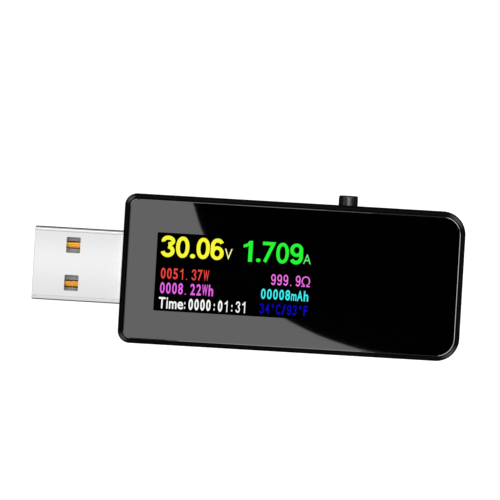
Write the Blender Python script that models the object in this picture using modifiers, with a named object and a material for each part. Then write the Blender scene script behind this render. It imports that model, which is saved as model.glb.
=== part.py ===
"""USB power meter: an inline tester with a USB-A plug, a USB-A socket, a display and a side button.

Frame: metres, the meter lies on its back. +X runs from the plug to the socket, +Y points to the button,
+Z is the display's outward normal. The origin is the middle of the case's flat back face.
"""

import math

import bmesh
import bpy

MM = 0.001

# ---- Driving dimensions -------------------------------------------------------------------------

# Case: two moulded shells and a clear front lens.
CASE_LENGTH = 55.8 * MM
CASE_WIDTH = 24.5 * MM
CASE_HEIGHT = 12.5 * MM
PLUG_END_RADIUS = 2.0 * MM
SOCKET_END_RADIUS = 3.8 * MM
WALL = 1.2 * MM
SEAM_Z = 5.0 * MM
RIM_WIDTH = 0.75 * MM
FRONT_EDGE_ROUND = 0.7 * MM
BACK_EDGE_ROUND = 0.9 * MM
SEAM_CHAMFER = 0.12 * MM
DECK_THICKNESS = 0.7 * MM
TONGUE_DEPTH = 0.7 * MM
TONGUE_WIDTH = 0.55 * MM
CORNER_STEPS = 6

# Gaps: between pieces that rest on each other, round pieces that fit in openings, and round the button.
REST_GAP = 0.05 * MM
OPENING_GAP = 0.15 * MM
BUTTON_GAP = 0.15 * MM

# Lens and its black adhesive frame.
LENS_THICKNESS = 0.8 * MM
LENS_RECESS = 0.1 * MM
LENS_EDGE = 0.15 * MM
TAPE_THICKNESS = 0.1 * MM
TAPE_INSET = 0.95 * MM

# Display module, stacked from the board up to the deck of the front shell.
SCREEN_LENGTH = 26.2 * MM
SCREEN_WIDTH = 12.8 * MM
SCREEN_X = -9.2 * MM
SCREEN_Y = -0.3 * MM
POLARISER_THICKNESS = 0.15 * MM
GLASS_THICKNESS = 0.4 * MM
GLASS_BORDER = 1.0 * MM
GLASS_LEDGE = 3.6 * MM
FOAM_THICKNESS = 0.3 * MM
FRAME_WALL = 0.7 * MM
FRAME_FLOOR = 0.2 * MM
GUIDE_THICKNESS = 0.55 * MM
FLEX_WIDTH = 11.0 * MM
FLEX_THICKNESS = 0.12 * MM

# Circuit board.
BOARD_BOTTOM = 7.3 * MM
BOARD_THICKNESS = 1.2 * MM
BOARD_TOP = BOARD_BOTTOM + BOARD_THICKNESS
BOARD_INSET = 1.45 * MM
TAIL_TOP = BOARD_TOP + 0.45 * MM

# USB-A plug.
PLUG_TIP = -42.5 * MM
PLUG_REAR = -24.5 * MM
PLUG_WIDTH = 12.0 * MM
PLUG_HEIGHT = 4.5 * MM
PLUG_CORNER = 0.55 * MM
PLUG_TOP = BOARD_BOTTOM - REST_GAP
PLUG_BOTTOM = PLUG_TOP - PLUG_HEIGHT
PLUG_CAVITY_DEPTH = 12.0 * MM
PLUG_TONGUE = 1.95 * MM
WINDOW_LENGTH = 2.3 * MM
WINDOW_WIDTH = 2.6 * MM
WINDOW_FROM_TIP = 6.4 * MM
WINDOW_Y = 3.1 * MM
STEEL = 0.3 * MM

# USB-A socket.
SOCKET_MOUTH = CASE_LENGTH / 2 - 0.1 * MM
SOCKET_REAR = 13.9 * MM
SOCKET_WIDTH = 13.1 * MM
SOCKET_HEIGHT = 5.72 * MM
SOCKET_CORNER = 0.7 * MM
SOCKET_TOP = BOARD_BOTTOM - REST_GAP
SOCKET_BOTTOM = SOCKET_TOP - SOCKET_HEIGHT
SOCKET_TONGUE_LOW = SOCKET_BOTTOM + STEEL + 2.56 * MM
SOCKET_TONGUE = 1.84 * MM
SOCKET_TONGUE_WIDTH = 11.1 * MM
SOCKET_TONGUE_END = SOCKET_MOUTH - 1.3 * MM
SOCKET_BLOCK_END = 17.5 * MM

# The contacts of both connectors: name, place across the plug and the socket, set-back of a short blade.
CONTACTS = (
    ("vbus", 3.2 * MM, 3.5 * MM, 0.0),
    ("data_minus", 1.0 * MM, 1.0 * MM, 1.0 * MM),
    ("data_plus", -1.0 * MM, -1.0 * MM, 1.0 * MM),
    ("ground", -3.2 * MM, -3.5 * MM, 0.0),
)
BLADE_WIDTH = 1.1 * MM
CONTACT_WIDTH = 1.0 * MM
CONTACT_THICKNESS = 0.25 * MM
SPRING_THICKNESS = 0.2 * MM

# Side-push tactile switch, with a round plunger that reaches out through the case as the button.
BUTTON_X = 8.6 * MM
BUTTON_Z = SEAM_Z
BUTTON_RADIUS = 1.58 * MM
BUTTON_END = CASE_WIDTH / 2 + 1.7 * MM
BUTTON_EDGE = 0.3 * MM
BUTTON_TRAVEL = 0.25 * MM
SWITCH_WIDTH = 6.0 * MM
SWITCH_HEIGHT = 4.45 * MM
SWITCH_REAR = 7.2 * MM
SWITCH_FRONT = 10.4 * MM
BRACKET_FRONT = 10.75 * MM
FLANGE_RADIUS = 1.85 * MM
DOME_RADIUS = 1.75 * MM
DOME_RISE = 0.5 * MM
DOME_THICKNESS = 0.08 * MM
DOME_SEAT_Y = 8.45 * MM

# Posts that clamp the board, one pair at each end of the case.
POST_X = (-20.0 * MM, 13.4 * MM)
POST_Y = 9.5 * MM
POST_RADIUS = 0.95 * MM
PIN_RADIUS = 0.45 * MM
PIN_HOLE_RADIUS = PIN_RADIUS + 0.12 * MM

DECK_TOP = CASE_HEIGHT - LENS_RECESS - LENS_THICKNESS - TAPE_THICKNESS - 3 * REST_GAP
DECK_BOTTOM = DECK_TOP - DECK_THICKNESS
LENS_TOP = CASE_HEIGHT - LENS_RECESS
LENS_BOTTOM = LENS_TOP - LENS_THICKNESS
PLUG_MIDDLE = (PLUG_TOP + PLUG_BOTTOM) / 2
SOCKET_MIDDLE = (SOCKET_TOP + SOCKET_BOTTOM) / 2

# ---- Materials: colour, roughness, metallic -----------------------------------------------------

FINISHES = {
    "case_black": ((0.012, 0.012, 0.013), 0.35, 0.0),
    "lens_clear": ((0.80, 0.82, 0.84), 0.05, 0.0),
    "tape_black": ((0.008, 0.008, 0.008), 0.60, 0.0),
    "polariser": ((0.010, 0.010, 0.012), 0.15, 0.0),
    "display_glass": ((0.25, 0.28, 0.28), 0.08, 0.0),
    "flex_amber": ((0.45, 0.20, 0.04), 0.40, 0.0),
    "white_plastic": ((0.80, 0.80, 0.78), 0.45, 0.0),
    "foam_grey": ((0.10, 0.10, 0.11), 0.95, 0.0),
    "board_green": ((0.010, 0.085, 0.035), 0.40, 0.0),
    "chip_black": ((0.015, 0.015, 0.016), 0.55, 0.0),
    "ceramic_tan": ((0.42, 0.28, 0.17), 0.45, 0.0),
    "ferrite_grey": ((0.09, 0.09, 0.095), 0.60, 0.0),
    "plug_steel": ((0.82, 0.82, 0.83), 0.22, 1.0),
    "insulator_grey": ((0.22, 0.22, 0.225), 0.50, 0.0),
    "contact_gold": ((0.90, 0.56, 0.16), 0.22, 1.0),
    "spring_steel": ((0.66, 0.66, 0.67), 0.28, 1.0),
    "button_black": ((0.016, 0.016, 0.017), 0.28, 0.0),
}


def material(name):
    """The named finish as a Principled material, made once."""
    found = bpy.data.materials.get(name)
    if found:
        return found
    colour, roughness, metallic = FINISHES[name]
    made = bpy.data.materials.new(name)
    made.use_nodes = True
    shader = made.node_tree.nodes["Principled BSDF"]
    shader.inputs["Base Color"].default_value = (*colour, 1.0)
    shader.inputs["Roughness"].default_value = roughness
    shader.inputs["Metallic"].default_value = metallic
    made.diffuse_color = (*colour, 1.0)
    return made


# ---- Collections and modelling helpers ----------------------------------------------------------


def start_scene():
    """An empty scene with one collection for the parts and one for the cutters."""
    for old in list(bpy.data.objects):
        bpy.data.objects.remove(old, do_unlink=True)
    for name in ("usb_power_meter", "cutters"):
        bpy.context.scene.collection.children.link(bpy.data.collections.new(name))


def add_part(name, mesh, finish):
    """A new object in the parts' collection, with its material."""
    made = bpy.data.objects.new(name, mesh)
    bpy.data.collections["usb_power_meter"].objects.link(made)
    made.data.materials.clear()
    made.data.materials.append(material(finish))
    return made


def as_tool(obj):
    """Turns an object into a cutter or a piece to be joined: it isn't a part of its own."""
    bpy.data.collections["usb_power_meter"].objects.unlink(obj)
    bpy.data.collections["cutters"].objects.link(obj)
    obj.hide_render = True
    obj.display_type = "WIRE"
    return obj


def boolean(obj, tool, operation):
    as_tool(tool)
    modifier = obj.modifiers.new(tool.name, "BOOLEAN")
    modifier.operation = operation
    modifier.solver = "EXACT"
    modifier.object = tool


def cut(obj, *tools):
    for tool in tools:
        boolean(obj, tool, "DIFFERENCE")


def join(obj, *tools):
    for tool in tools:
        boolean(obj, tool, "UNION")


def smooth(obj, angle=35.0):
    """Round faces shade smooth, and edges sharper than the angle stay crisp."""
    obj.data.shade_smooth()
    obj.data.set_sharp_from_angle(angle=math.radians(angle))
    return obj


def block(name, low, high, finish="case_black"):
    """A box between two corners, with its origin in its middle."""
    mesh = bpy.data.meshes.new(name)
    shape = bmesh.new()
    bmesh.ops.create_cube(shape, size=1.0)
    size = [b - a for a, b in zip(low, high)]
    bmesh.ops.scale(shape, vec=size, verts=shape.verts)
    shape.to_mesh(mesh)
    shape.free()
    made = add_part(name, mesh, finish)
    made.location = [(a + b) / 2 for a, b in zip(low, high)]
    return made


def centred_block(name, centre, size, finish="case_black"):
    low = [c - s / 2 for c, s in zip(centre, size)]
    high = [c + s / 2 for c, s in zip(centre, size)]
    return block(name, low, high, finish)


def soften(obj, width, segments=2):
    """Rounds every sharp edge of a part."""
    modifier = obj.modifiers.new("edges", "BEVEL")
    modifier.width = width
    modifier.segments = segments
    modifier.limit_method = "ANGLE"
    modifier.angle_limit = math.radians(40)
    return obj


def soften_rim(obj, level, width, segments):
    """Rounds only the edges that lie at one height of the object's own Z."""
    mesh = obj.data
    weights = mesh.attributes.get("bevel_weight_edge")
    if weights:
        mesh.attributes.remove(weights)
    weights = mesh.attributes.new("bevel_weight_edge", "FLOAT", "EDGE")
    for edge in mesh.edges:
        ends = [mesh.vertices[i].co.z for i in edge.vertices]
        weights.data[edge.index].value = float(all(abs(z - level) < 1e-6 for z in ends))
    modifier = obj.modifiers.new("rim", "BEVEL")
    modifier.width = width
    modifier.segments = segments
    modifier.limit_method = "WEIGHT"
    # The weights are applied at once, so that another rim can be rounded by its own width.
    bpy.context.view_layer.update()
    graph = bpy.context.evaluated_depsgraph_get()
    rounded = bpy.data.meshes.new_from_object(obj.evaluated_get(graph))
    obj.modifiers.clear()
    obj.data = rounded
    return obj


def arc(centre_x, centre_y, radius, start_deg, end_deg, steps):
    """Points of an arc, both ends included."""
    points = []
    for i in range(steps + 1):
        angle = math.radians(start_deg + (end_deg - start_deg) * i / steps)
        points.append((centre_x + radius * math.cos(angle), centre_y + radius * math.sin(angle)))
    return points


def rounded_rectangle(low, high, left_radius, right_radius=None, steps=CORNER_STEPS):
    """Counter-clockwise outline whose two ends may have corners of different radius."""
    right_radius = left_radius if right_radius is None else right_radius
    (x0, y0), (x1, y1) = low, high
    return (
        arc(x1 - right_radius, y0 + right_radius, right_radius, -90, 0, steps)
        + arc(x1 - right_radius, y1 - right_radius, right_radius, 0, 90, steps)
        + arc(x0 + left_radius, y1 - left_radius, left_radius, 90, 180, steps)
        + arc(x0 + left_radius, y0 + left_radius, left_radius, 180, 270, steps)
    )


def rectangle(low, high):
    (x0, y0), (x1, y1) = low, high
    return [(x0, y0), (x1, y0), (x1, y1), (x0, y1)]


def circle(centre_x, centre_y, radius, steps=12):
    return arc(centre_x, centre_y, radius, 0, 360, steps)[:-1]


def case_outline(inset, steps=CORNER_STEPS):
    """The case's outline, moved inwards by an inset."""
    half = (CASE_LENGTH / 2 - inset, CASE_WIDTH / 2 - inset)
    return rounded_rectangle(
        (-half[0], -half[1]),
        half,
        max(PLUG_END_RADIUS - inset, 0.3 * MM),
        max(SOCKET_END_RADIUS - inset, 0.3 * MM),
        steps,
    )


def curve_to_mesh(curve_object, name, finish):
    """A curve's solid as a mesh part with its caps welded; the curve is removed."""
    bpy.context.view_layer.update()
    graph = bpy.context.evaluated_depsgraph_get()
    mesh = bpy.data.meshes.new_from_object(curve_object.evaluated_get(graph))
    place = curve_object.matrix_world.copy()
    bpy.data.objects.remove(curve_object, do_unlink=True)
    shape = bmesh.new()
    shape.from_mesh(mesh)
    bmesh.ops.remove_doubles(shape, verts=shape.verts, dist=1e-7)
    bmesh.ops.dissolve_limit(
        shape, angle_limit=math.radians(0.5), verts=shape.verts, edges=shape.edges
    )
    bmesh.ops.recalc_face_normals(shape, faces=shape.faces)
    shape.to_mesh(mesh)
    shape.free()
    mesh.name = name
    made = add_part(name, mesh, finish)
    made.matrix_world = place
    return made


def plate(name, loops, low, high, finish="case_black", rotation=(0.0, 0.0, 0.0)):
    """A flat outline, with holes if it has more loops, made as thick as low to high along its own Z."""
    curve = bpy.data.curves.new(name + "_outline", "CURVE")
    curve.dimensions = "2D"
    curve.fill_mode = "BOTH"
    curve.extrude = (high - low) / 2
    for loop in loops:
        spline = curve.splines.new("POLY")
        spline.points.add(len(loop) - 1)
        for point, (x, y) in zip(spline.points, loop):
            point.co = (x, y, 0.0, 1.0)
        spline.use_cyclic_u = True
    drawn = bpy.data.objects.new(name + "_outline", curve)
    bpy.context.scene.collection.objects.link(drawn)
    made = curve_to_mesh(drawn, name, finish)
    for vertex in made.data.vertices:
        vertex.co.z += (low + high) / 2
    made.rotation_euler = rotation
    return made


# Turns a plate so that its own X, Y and Z lie along the frame's Y, Z and X, or along X, Z and -Y.
ALONG_X = (math.pi / 2, 0.0, math.pi / 2)
ALONG_Y = (math.pi / 2, 0.0, 0.0)


def turned(name, profile, location, finish, axis="Z", segments=24):
    """A turned solid. Its profile lists (radius, height) from the top down the outer side to the foot."""
    mesh = bpy.data.meshes.new(name)
    edges = [(i, i + 1) for i in range(len(profile) - 1)]
    mesh.from_pydata([(r, 0.0, h) for r, h in profile], edges, [])
    made = add_part(name, mesh, finish)
    modifier = made.modifiers.new("turn", "SCREW")
    modifier.axis = "Z"
    modifier.steps = segments
    modifier.render_steps = segments
    modifier.use_merge_vertices = True
    modifier.merge_threshold = 1e-6
    made.location = location
    if axis == "Y":
        made.rotation_euler = (-math.pi / 2, 0.0, 0.0)
    return made


def rod(name, radius, low, high, at, finish="case_black", axis="Z", segments=24):
    """A plain round rod from low to high along Z or Y, at the other two coordinates."""
    length = high - low
    profile = [(0.0, length), (radius, length), (radius, 0.0), (0.0, 0.0)]
    location = (at[0], at[1], low) if axis == "Z" else (at[0], low, at[1])
    return turned(name, profile, location, finish, axis, segments)


def strip_outline(path, thickness):
    """Outline of a bent strip that follows a path of (x, z) points, half its thickness on each side."""
    sides = ([], [])
    for i, (x, z) in enumerate(path):
        before = path[max(i - 1, 0)]
        after = path[min(i + 1, len(path) - 1)]
        one = _unit((x - before[0], z - before[1]))
        two = _unit((after[0] - x, after[1] - z))
        one, two = (one or two), (two or one)
        normal = _unit((-(one[1] + two[1]), one[0] + two[0]))
        mitre = thickness / 2 / max(0.3, normal[0] * -one[1] + normal[1] * one[0])
        sides[0].append((x + normal[0] * mitre, z + normal[1] * mitre))
        sides[1].append((x - normal[0] * mitre, z - normal[1] * mitre))
    return sides[0] + sides[1][::-1]


def _unit(vector):
    length = math.hypot(*vector)
    return (vector[0] / length, vector[1] / length) if length > 1e-9 else None


def strip(name, path, thickness, width, across, finish):
    """A bent metal or film strip in the XZ plane, centred on a Y place and as wide as given."""
    made = plate(name, [strip_outline(path, thickness)], -width / 2, width / 2, finish, ALONG_Y)
    made.location.y = across
    return made


# ---- Case ---------------------------------------------------------------------------------------


def opening_tools(owner):
    """Cutters for what the shells open together: plug slot, socket mouth and button hole."""
    plug_slot = plate(
        owner + "_plug_slot",
        [
            rounded_rectangle(
                (-PLUG_WIDTH / 2 - OPENING_GAP, PLUG_BOTTOM - OPENING_GAP),
                (PLUG_WIDTH / 2 + OPENING_GAP, PLUG_TOP + OPENING_GAP),
                PLUG_CORNER + OPENING_GAP,
                steps=3,
            )
        ],
        -CASE_LENGTH / 2 - MM,
        -CASE_LENGTH / 2 + WALL + 0.2 * MM,
        rotation=ALONG_X,
    )
    socket_slot = plate(
        owner + "_socket_slot",
        [
            rounded_rectangle(
                (-SOCKET_WIDTH / 2 - OPENING_GAP, SOCKET_BOTTOM - OPENING_GAP),
                (SOCKET_WIDTH / 2 + OPENING_GAP, SOCKET_TOP + OPENING_GAP),
                SOCKET_CORNER + OPENING_GAP,
                steps=3,
            )
        ],
        CASE_LENGTH / 2 - WALL - 0.2 * MM,
        CASE_LENGTH / 2 + MM,
        rotation=ALONG_X,
    )
    button_hole = rod(
        owner + "_button_hole",
        BUTTON_RADIUS + BUTTON_GAP,
        CASE_WIDTH / 2 - WALL - 0.2 * MM,
        CASE_WIDTH / 2 + MM,
        (BUTTON_X, BUTTON_Z),
        axis="Y",
    )
    return plug_slot, socket_slot, button_hole


def make_front_shell():
    """Bezel shell: walls, the deck that carries the lens, and the tongue that enters the rear shell."""
    shell = plate("front_shell", [case_outline(0.0)], SEAM_Z, CASE_HEIGHT)
    soften_rim(shell, CASE_HEIGHT, FRONT_EDGE_ROUND, 3)
    soften_rim(shell, SEAM_Z, SEAM_CHAMFER, 1)
    tongue_low = SEAM_Z - TONGUE_DEPTH + REST_GAP
    join(shell, plate("front_tongue", [case_outline(WALL - TONGUE_WIDTH)], tongue_low, SEAM_Z + MM))
    cut(shell, plate("front_hollow", [case_outline(WALL)], SEAM_Z - 2 * MM, DECK_BOTTOM))
    cut(shell, plate("lens_recess", [case_outline(RIM_WIDTH)], DECK_TOP, CASE_HEIGHT + MM))
    border = 0.4 * MM
    window = screen_rectangle(border, 0.4 * MM)
    cut(shell, plate("display_window", [window], DECK_BOTTOM - MM, DECK_TOP + MM))
    low = BOARD_TOP + REST_GAP
    for name, place in post_places("front_post"):
        post = rod(name, POST_RADIUS, low, DECK_TOP - 0.3 * MM, place, segments=12)
        cut(post, rod(name + "_hole", PIN_HOLE_RADIUS, low - MM, low + MM, place, segments=12))
        join(shell, post)
    cut(shell, *opening_tools("front"))
    return smooth(shell)


def make_rear_shell():
    """Rear cover: floor, walls with a rabbet for the tongue, and the board's posts with their pins."""
    shell = plate("rear_shell", [case_outline(0.0)], 0.0, SEAM_Z)
    soften_rim(shell, 0.0, BACK_EDGE_ROUND, 3)
    soften_rim(shell, SEAM_Z, SEAM_CHAMFER, 1)
    cut(shell, plate("rear_hollow", [case_outline(WALL)], WALL, SEAM_Z + MM))
    rabbet = WALL - TONGUE_WIDTH - REST_GAP
    cut(shell, plate("rear_rabbet", [case_outline(rabbet)], SEAM_Z - TONGUE_DEPTH, SEAM_Z + MM))
    floor = WALL / 2
    shoulder = BOARD_BOTTOM - REST_GAP - floor
    pin = BOARD_TOP + 0.5 * MM - floor
    profile = [
        (0.0, pin),
        (PIN_RADIUS, pin),
        (PIN_RADIUS, shoulder),
        (POST_RADIUS, shoulder),
        (POST_RADIUS, 0.0),
        (0.0, 0.0),
    ]
    for name, place in post_places("rear_post"):
        join(shell, turned(name, profile, (*place, floor), "case_black", segments=12))
    plug_rest = PLUG_BOTTOM - REST_GAP
    join(shell, block("plug_rest", (-26.0 * MM, -4 * MM, floor), (-24.6 * MM, 4 * MM, plug_rest)))
    socket_rest = SOCKET_BOTTOM - REST_GAP
    for i, x in enumerate((16.0 * MM, 24.0 * MM)):
        join(shell, block(f"socket_rest_{i}", (x, -5 * MM, floor), (x + MM, 5 * MM, socket_rest)))
    cut(shell, *opening_tools("rear"))
    return smooth(shell)


def post_places(prefix):
    """A name and an (x, y) place for each of the four posts."""
    places = [(x, side * POST_Y) for x in POST_X for side in (-1, 1)]
    return [(f"{prefix}_{i}", place) for i, place in enumerate(places)]


def screen_rectangle(border, radius=0.15 * MM):
    """Outline of the screen's active area, grown by a border."""
    half = (SCREEN_LENGTH / 2 + border, SCREEN_WIDTH / 2 + border)
    low = (SCREEN_X - half[0], SCREEN_Y - half[1])
    high = (SCREEN_X + half[0], SCREEN_Y + half[1])
    return rounded_rectangle(low, high, radius, steps=2)


def make_lens():
    """The clear front sheet and the black die-cut adhesive behind it, open over the screen."""
    outline = case_outline(RIM_WIDTH + REST_GAP)
    lens = plate("front_lens", [outline], LENS_BOTTOM, LENS_TOP, "lens_clear")
    soften_rim(lens, LENS_TOP, LENS_EDGE, 2)
    smooth(lens)
    tape_top = LENS_BOTTOM - REST_GAP
    loops = [case_outline(TAPE_INSET), screen_rectangle(0.0)]
    plate("lens_tape", loops, tape_top - TAPE_THICKNESS, tape_top, "tape_black")


# ---- Display module -----------------------------------------------------------------------------


def make_display():
    """Foam pad, backlight tray, light guide, LEDs, two glass sheets, polariser, driver and flex."""
    x0 = SCREEN_X - SCREEN_LENGTH / 2 - GLASS_BORDER
    x1 = SCREEN_X + SCREEN_LENGTH / 2 + GLASS_BORDER
    y0 = SCREEN_Y - SCREEN_WIDTH / 2 - GLASS_BORDER
    y1 = SCREEN_Y + SCREEN_WIDTH / 2 + GLASS_BORDER
    ledge = x1 + GLASS_LEDGE

    top = DECK_BOTTOM - REST_GAP
    block("lcd_filter_glass", (x0, y0, top - GLASS_THICKNESS), (x1, y1, top), "display_glass")
    half = (SCREEN_LENGTH / 2 + 0.25 * MM, SCREEN_WIDTH / 2 + 0.25 * MM)
    block(
        "front_polariser",
        (SCREEN_X - half[0], SCREEN_Y - half[1], top + REST_GAP),
        (SCREEN_X + half[0], SCREEN_Y + half[1], top + REST_GAP + POLARISER_THICKNESS),
        "polariser",
    )
    top -= GLASS_THICKNESS + REST_GAP / 2
    block("lcd_tft_glass", (x0, y0, top - GLASS_THICKNESS), (ledge, y1, top), "display_glass")
    driver = (x1 + 0.9 * MM, SCREEN_Y, top + 0.2 * MM)
    centred_block("display_driver_chip", driver, (1.1 * MM, 9.0 * MM, 0.28 * MM), "chip_black")

    flex_start = (ledge - 1.2 * MM, top + 0.12 * MM)
    flex_path = [
        flex_start,
        (ledge + 0.6 * MM, flex_start[1]),
        (ledge + 1.1 * MM, flex_start[1] - 0.2 * MM),
        (ledge + 1.7 * MM, BOARD_TOP + 0.35 * MM),
        (ledge + 2.2 * MM, BOARD_TOP + 0.12 * MM),
        (ledge + 4.2 * MM, BOARD_TOP + 0.12 * MM),
    ]
    strip("display_flex", flex_path, FLEX_THICKNESS, FLEX_WIDTH, SCREEN_Y, "flex_amber")

    top -= GLASS_THICKNESS + REST_GAP
    foot = BOARD_TOP + FOAM_THICKNESS + 2 * REST_GAP
    tray = block("backlight_frame", (x0, y0, foot), (ledge, y1, top), "white_plastic")
    pocket_low = foot + FRAME_FLOOR
    led_bay = ledge - FRAME_WALL
    cut(
        tray,
        block(
            "backlight_pocket",
            (x0 + FRAME_WALL, y0 + FRAME_WALL, pocket_low),
            (led_bay, y1 - FRAME_WALL, top + MM),
        ),
    )
    guide_low = pocket_low + REST_GAP
    guide_end = led_bay - 1.4 * MM
    gap = 0.1 * MM
    guide = block(
        "light_guide",
        (x0 + FRAME_WALL + gap, y0 + FRAME_WALL + gap, guide_low),
        (guide_end, y1 - FRAME_WALL - gap, guide_low + GUIDE_THICKNESS),
        "lens_clear",
    )
    soften(guide, 0.08 * MM, 1)
    led_size = (0.7 * MM, 2.6 * MM, 0.5 * MM)
    for i, y in enumerate((-3.6 * MM, 0.0, 3.6 * MM)):
        centre = (led_bay - 0.65 * MM, SCREEN_Y + y, guide_low + GUIDE_THICKNESS / 2)
        led = centred_block(f"backlight_led_{i + 1}", centre, led_size, "white_plastic")
        soften(led, 0.06 * MM, 1)
    foam_low = BOARD_TOP + REST_GAP
    loops = [rounded_rectangle((x0 + 0.6 * MM, y0 + 0.6 * MM), (x1, y1 - 0.6 * MM), 0.5 * MM, steps=2)]
    plate("display_foam_tape", loops, foam_low, foam_low + FOAM_THICKNESS, "foam_grey")


# ---- Circuit board and its components -----------------------------------------------------------

PLUG_TAIL_X = PLUG_REAR + 0.75 * MM
SOCKET_TAIL_X = SOCKET_REAR - 0.6 * MM
PLUG_LEG_X = -25.2 * MM
SOCKET_LEG_X = (16.6 * MM, 23.4 * MM)
LEG_LENGTH = 1.2 * MM
BRACKET_LEG_Y = (8.4 * MM, 9.6 * MM)
BRACKET_SIDE_X = SWITCH_WIDTH / 2 + REST_GAP


def slot(centre_x, centre_y, length_x, length_y):
    """A rectangular hole in the board's outline."""
    low = (centre_x - length_x / 2, centre_y - length_y / 2)
    high = (centre_x + length_x / 2, centre_y + length_y / 2)
    return rectangle(low, high)


def make_board():
    """The board, with a plated slot for each tail and leg and a hole for each locating pin."""
    room = 0.3 * MM
    loops = [case_outline(BOARD_INSET)]
    loops += [circle(*place, PIN_HOLE_RADIUS) for _, place in post_places("hole")]
    for _, plug_y, socket_y, _ in CONTACTS:
        loops.append(slot(PLUG_TAIL_X, plug_y, CONTACT_THICKNESS + room, BLADE_WIDTH + room))
        loops.append(slot(SOCKET_TAIL_X, socket_y, SPRING_THICKNESS + room, CONTACT_WIDTH + room))
    for side in (-1, 1):
        plug_leg_y = side * (PLUG_WIDTH - STEEL) / 2
        loops.append(slot(PLUG_LEG_X, plug_leg_y, LEG_LENGTH + room, STEEL + room))
        for x in SOCKET_LEG_X:
            socket_leg_y = side * (SOCKET_WIDTH - STEEL) / 2
            loops.append(slot(x, socket_leg_y, LEG_LENGTH + room, STEEL + room))
        leg_x = BUTTON_X + side * (BRACKET_SIDE_X + STEEL / 2)
        leg_y = sum(BRACKET_LEG_Y) / 2
        leg_width = BRACKET_LEG_Y[1] - BRACKET_LEG_Y[0]
        loops.append(slot(leg_x, leg_y, STEEL + room, leg_width + room))
    plate("circuit_board", loops, BOARD_BOTTOM, BOARD_TOP, "board_green")


def lead_path(edge, reach, middle, foot):
    """Path of a gull-wing lead, from inside the package out and down to its foot, as (x, z)."""
    return [
        (edge - 0.2 * MM, middle),
        (edge + reach * 0.35, middle),
        (edge + reach * 0.55, foot),
        (edge + reach, foot),
    ]


def make_chip(name, place, size, leads, pitch, lead_width, reach, sides):
    """A leaded package under the board. Its leads leave two or all four sides, as many on each."""
    length, width, height = size
    stand_off = 0.1 * MM
    sheet = 0.15 * MM
    lift = height / 2 + stand_off
    body = centred_block(name, (0, 0, 0), size, "chip_black")
    for side in range(sides):
        angle = side * 2 * math.pi / sides
        edge = (width if side % 2 == 0 or sides == 2 else length) / 2
        outline = strip_outline(lead_path(edge, reach, 0.0, sheet / 2 - lift), sheet)
        for i in range(leads):
            along = (i - (leads - 1) / 2) * pitch
            lead = plate(f"{name}_lead_{side}_{i}", [outline], -lead_width / 2, lead_width / 2)
            lead.rotation_euler = (ALONG_X[0], 0.0, ALONG_X[2] + angle)
            lead.location = (along * math.cos(angle), along * math.sin(angle), 0.0)
            lead.parent = body
            join(body, lead)
    body.location = (place[0], place[1], BOARD_BOTTOM - REST_GAP / 2 - lift)
    body.rotation_euler = (math.pi, 0.0, 0.0)


def make_passive(name, centre, size, finish, above=False):
    """A two-terminal chip part, standing on the board's upper face or hanging under the lower one."""
    gap = REST_GAP
    z = BOARD_TOP + gap + size[2] / 2 if above else BOARD_BOTTOM - gap - size[2] / 2
    part = centred_block(name, (centre[0], centre[1], z), size, finish)
    return soften(part, 0.07 * MM, 1)


def at(x, y):
    """A place on the board, given in millimetres."""
    return (x * MM, y * MM)


# Leaded chips: name, place, body size, leads on a side, their pitch, width and reach, and sides with leads.
CHIPS = (
    ("mcu_chip", at(-3.4, -1.2), (7 * MM, 7 * MM, 1.3 * MM), 8, 0.8 * MM, 0.35 * MM, 1.0 * MM, 4),
    ("memory_chip", at(-13.0, -5.6), (4.9 * MM, 3.9 * MM, 1.3 * MM), 4, 1.27 * MM, 0.42 * MM, 1.0 * MM, 2),
    ("buck_regulator", at(5.0, -8.0), (2.9 * MM, 1.6 * MM, 1.1 * MM), 3, 0.95 * MM, 0.4 * MM, 0.6 * MM, 2),
    ("ldo_regulator", at(-12.6, 0.6), (2.9 * MM, 1.5 * MM, 1.1 * MM), 3, 0.95 * MM, 0.4 * MM, 0.6 * MM, 2),
)


def make_components():
    """What measures and runs the meter: shunt, controller, memory, supply and small parts."""
    for name, place, size, *leads in CHIPS:
        make_chip(name, place, size, *leads)
    low = BOARD_BOTTOM - REST_GAP

    coil_outline = rounded_rectangle(at(7.0, -3.6), at(12.0, 1.4), 1.1 * MM, steps=3)
    coil = plate("buck_inductor", [coil_outline], low - 2.8 * MM, low, "ferrite_grey")
    soften(coil, 0.25 * MM, 1)
    smooth(coil)
    crystal_outline = rounded_rectangle(at(-8.6, 6.2), at(-3.6, 9.4), 0.6 * MM, steps=3)
    crystal = plate("crystal", [crystal_outline], low - 1.1 * MM, low, "spring_steel")
    smooth(soften(crystal, 0.12 * MM, 1))

    make_passive("shunt_resistor", at(-15.0, 5.6), (6.4 * MM, 3.2 * MM, 0.7 * MM), "chip_black")
    make_passive("input_capacitor", at(-19.3, -1.5), (1.6 * MM, 3.2 * MM, 1.5 * MM), "ceramic_tan")
    make_passive("output_capacitor", at(4.2, 4.6), (3.2 * MM, 1.6 * MM, 1.5 * MM), "ceramic_tan")
    make_passive("flyback_diode", at(0.4, -8.6), (2.6 * MM, 1.5 * MM, 1.1 * MM), "chip_black")
    small = (1.6 * MM, 0.8 * MM, 0.7 * MM)
    for i, place in enumerate(((-0.6, 5.6), (-0.6, 7.4), (3.4, 0.4), (-9.4, -8.4))):
        make_passive(f"capacitor_{i + 1}", at(*place), small, "ceramic_tan")
    flat = (1.6 * MM, 0.8 * MM, 0.45 * MM)
    for i, place in enumerate(((19.8, 4.8), (19.8, 6.6), (19.8, -5.0), (19.8, -6.8))):
        make_passive(f"resistor_{i + 1}", at(*place), flat, "chip_black", above=True)


# ---- USB-A plug ---------------------------------------------------------------------------------


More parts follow.
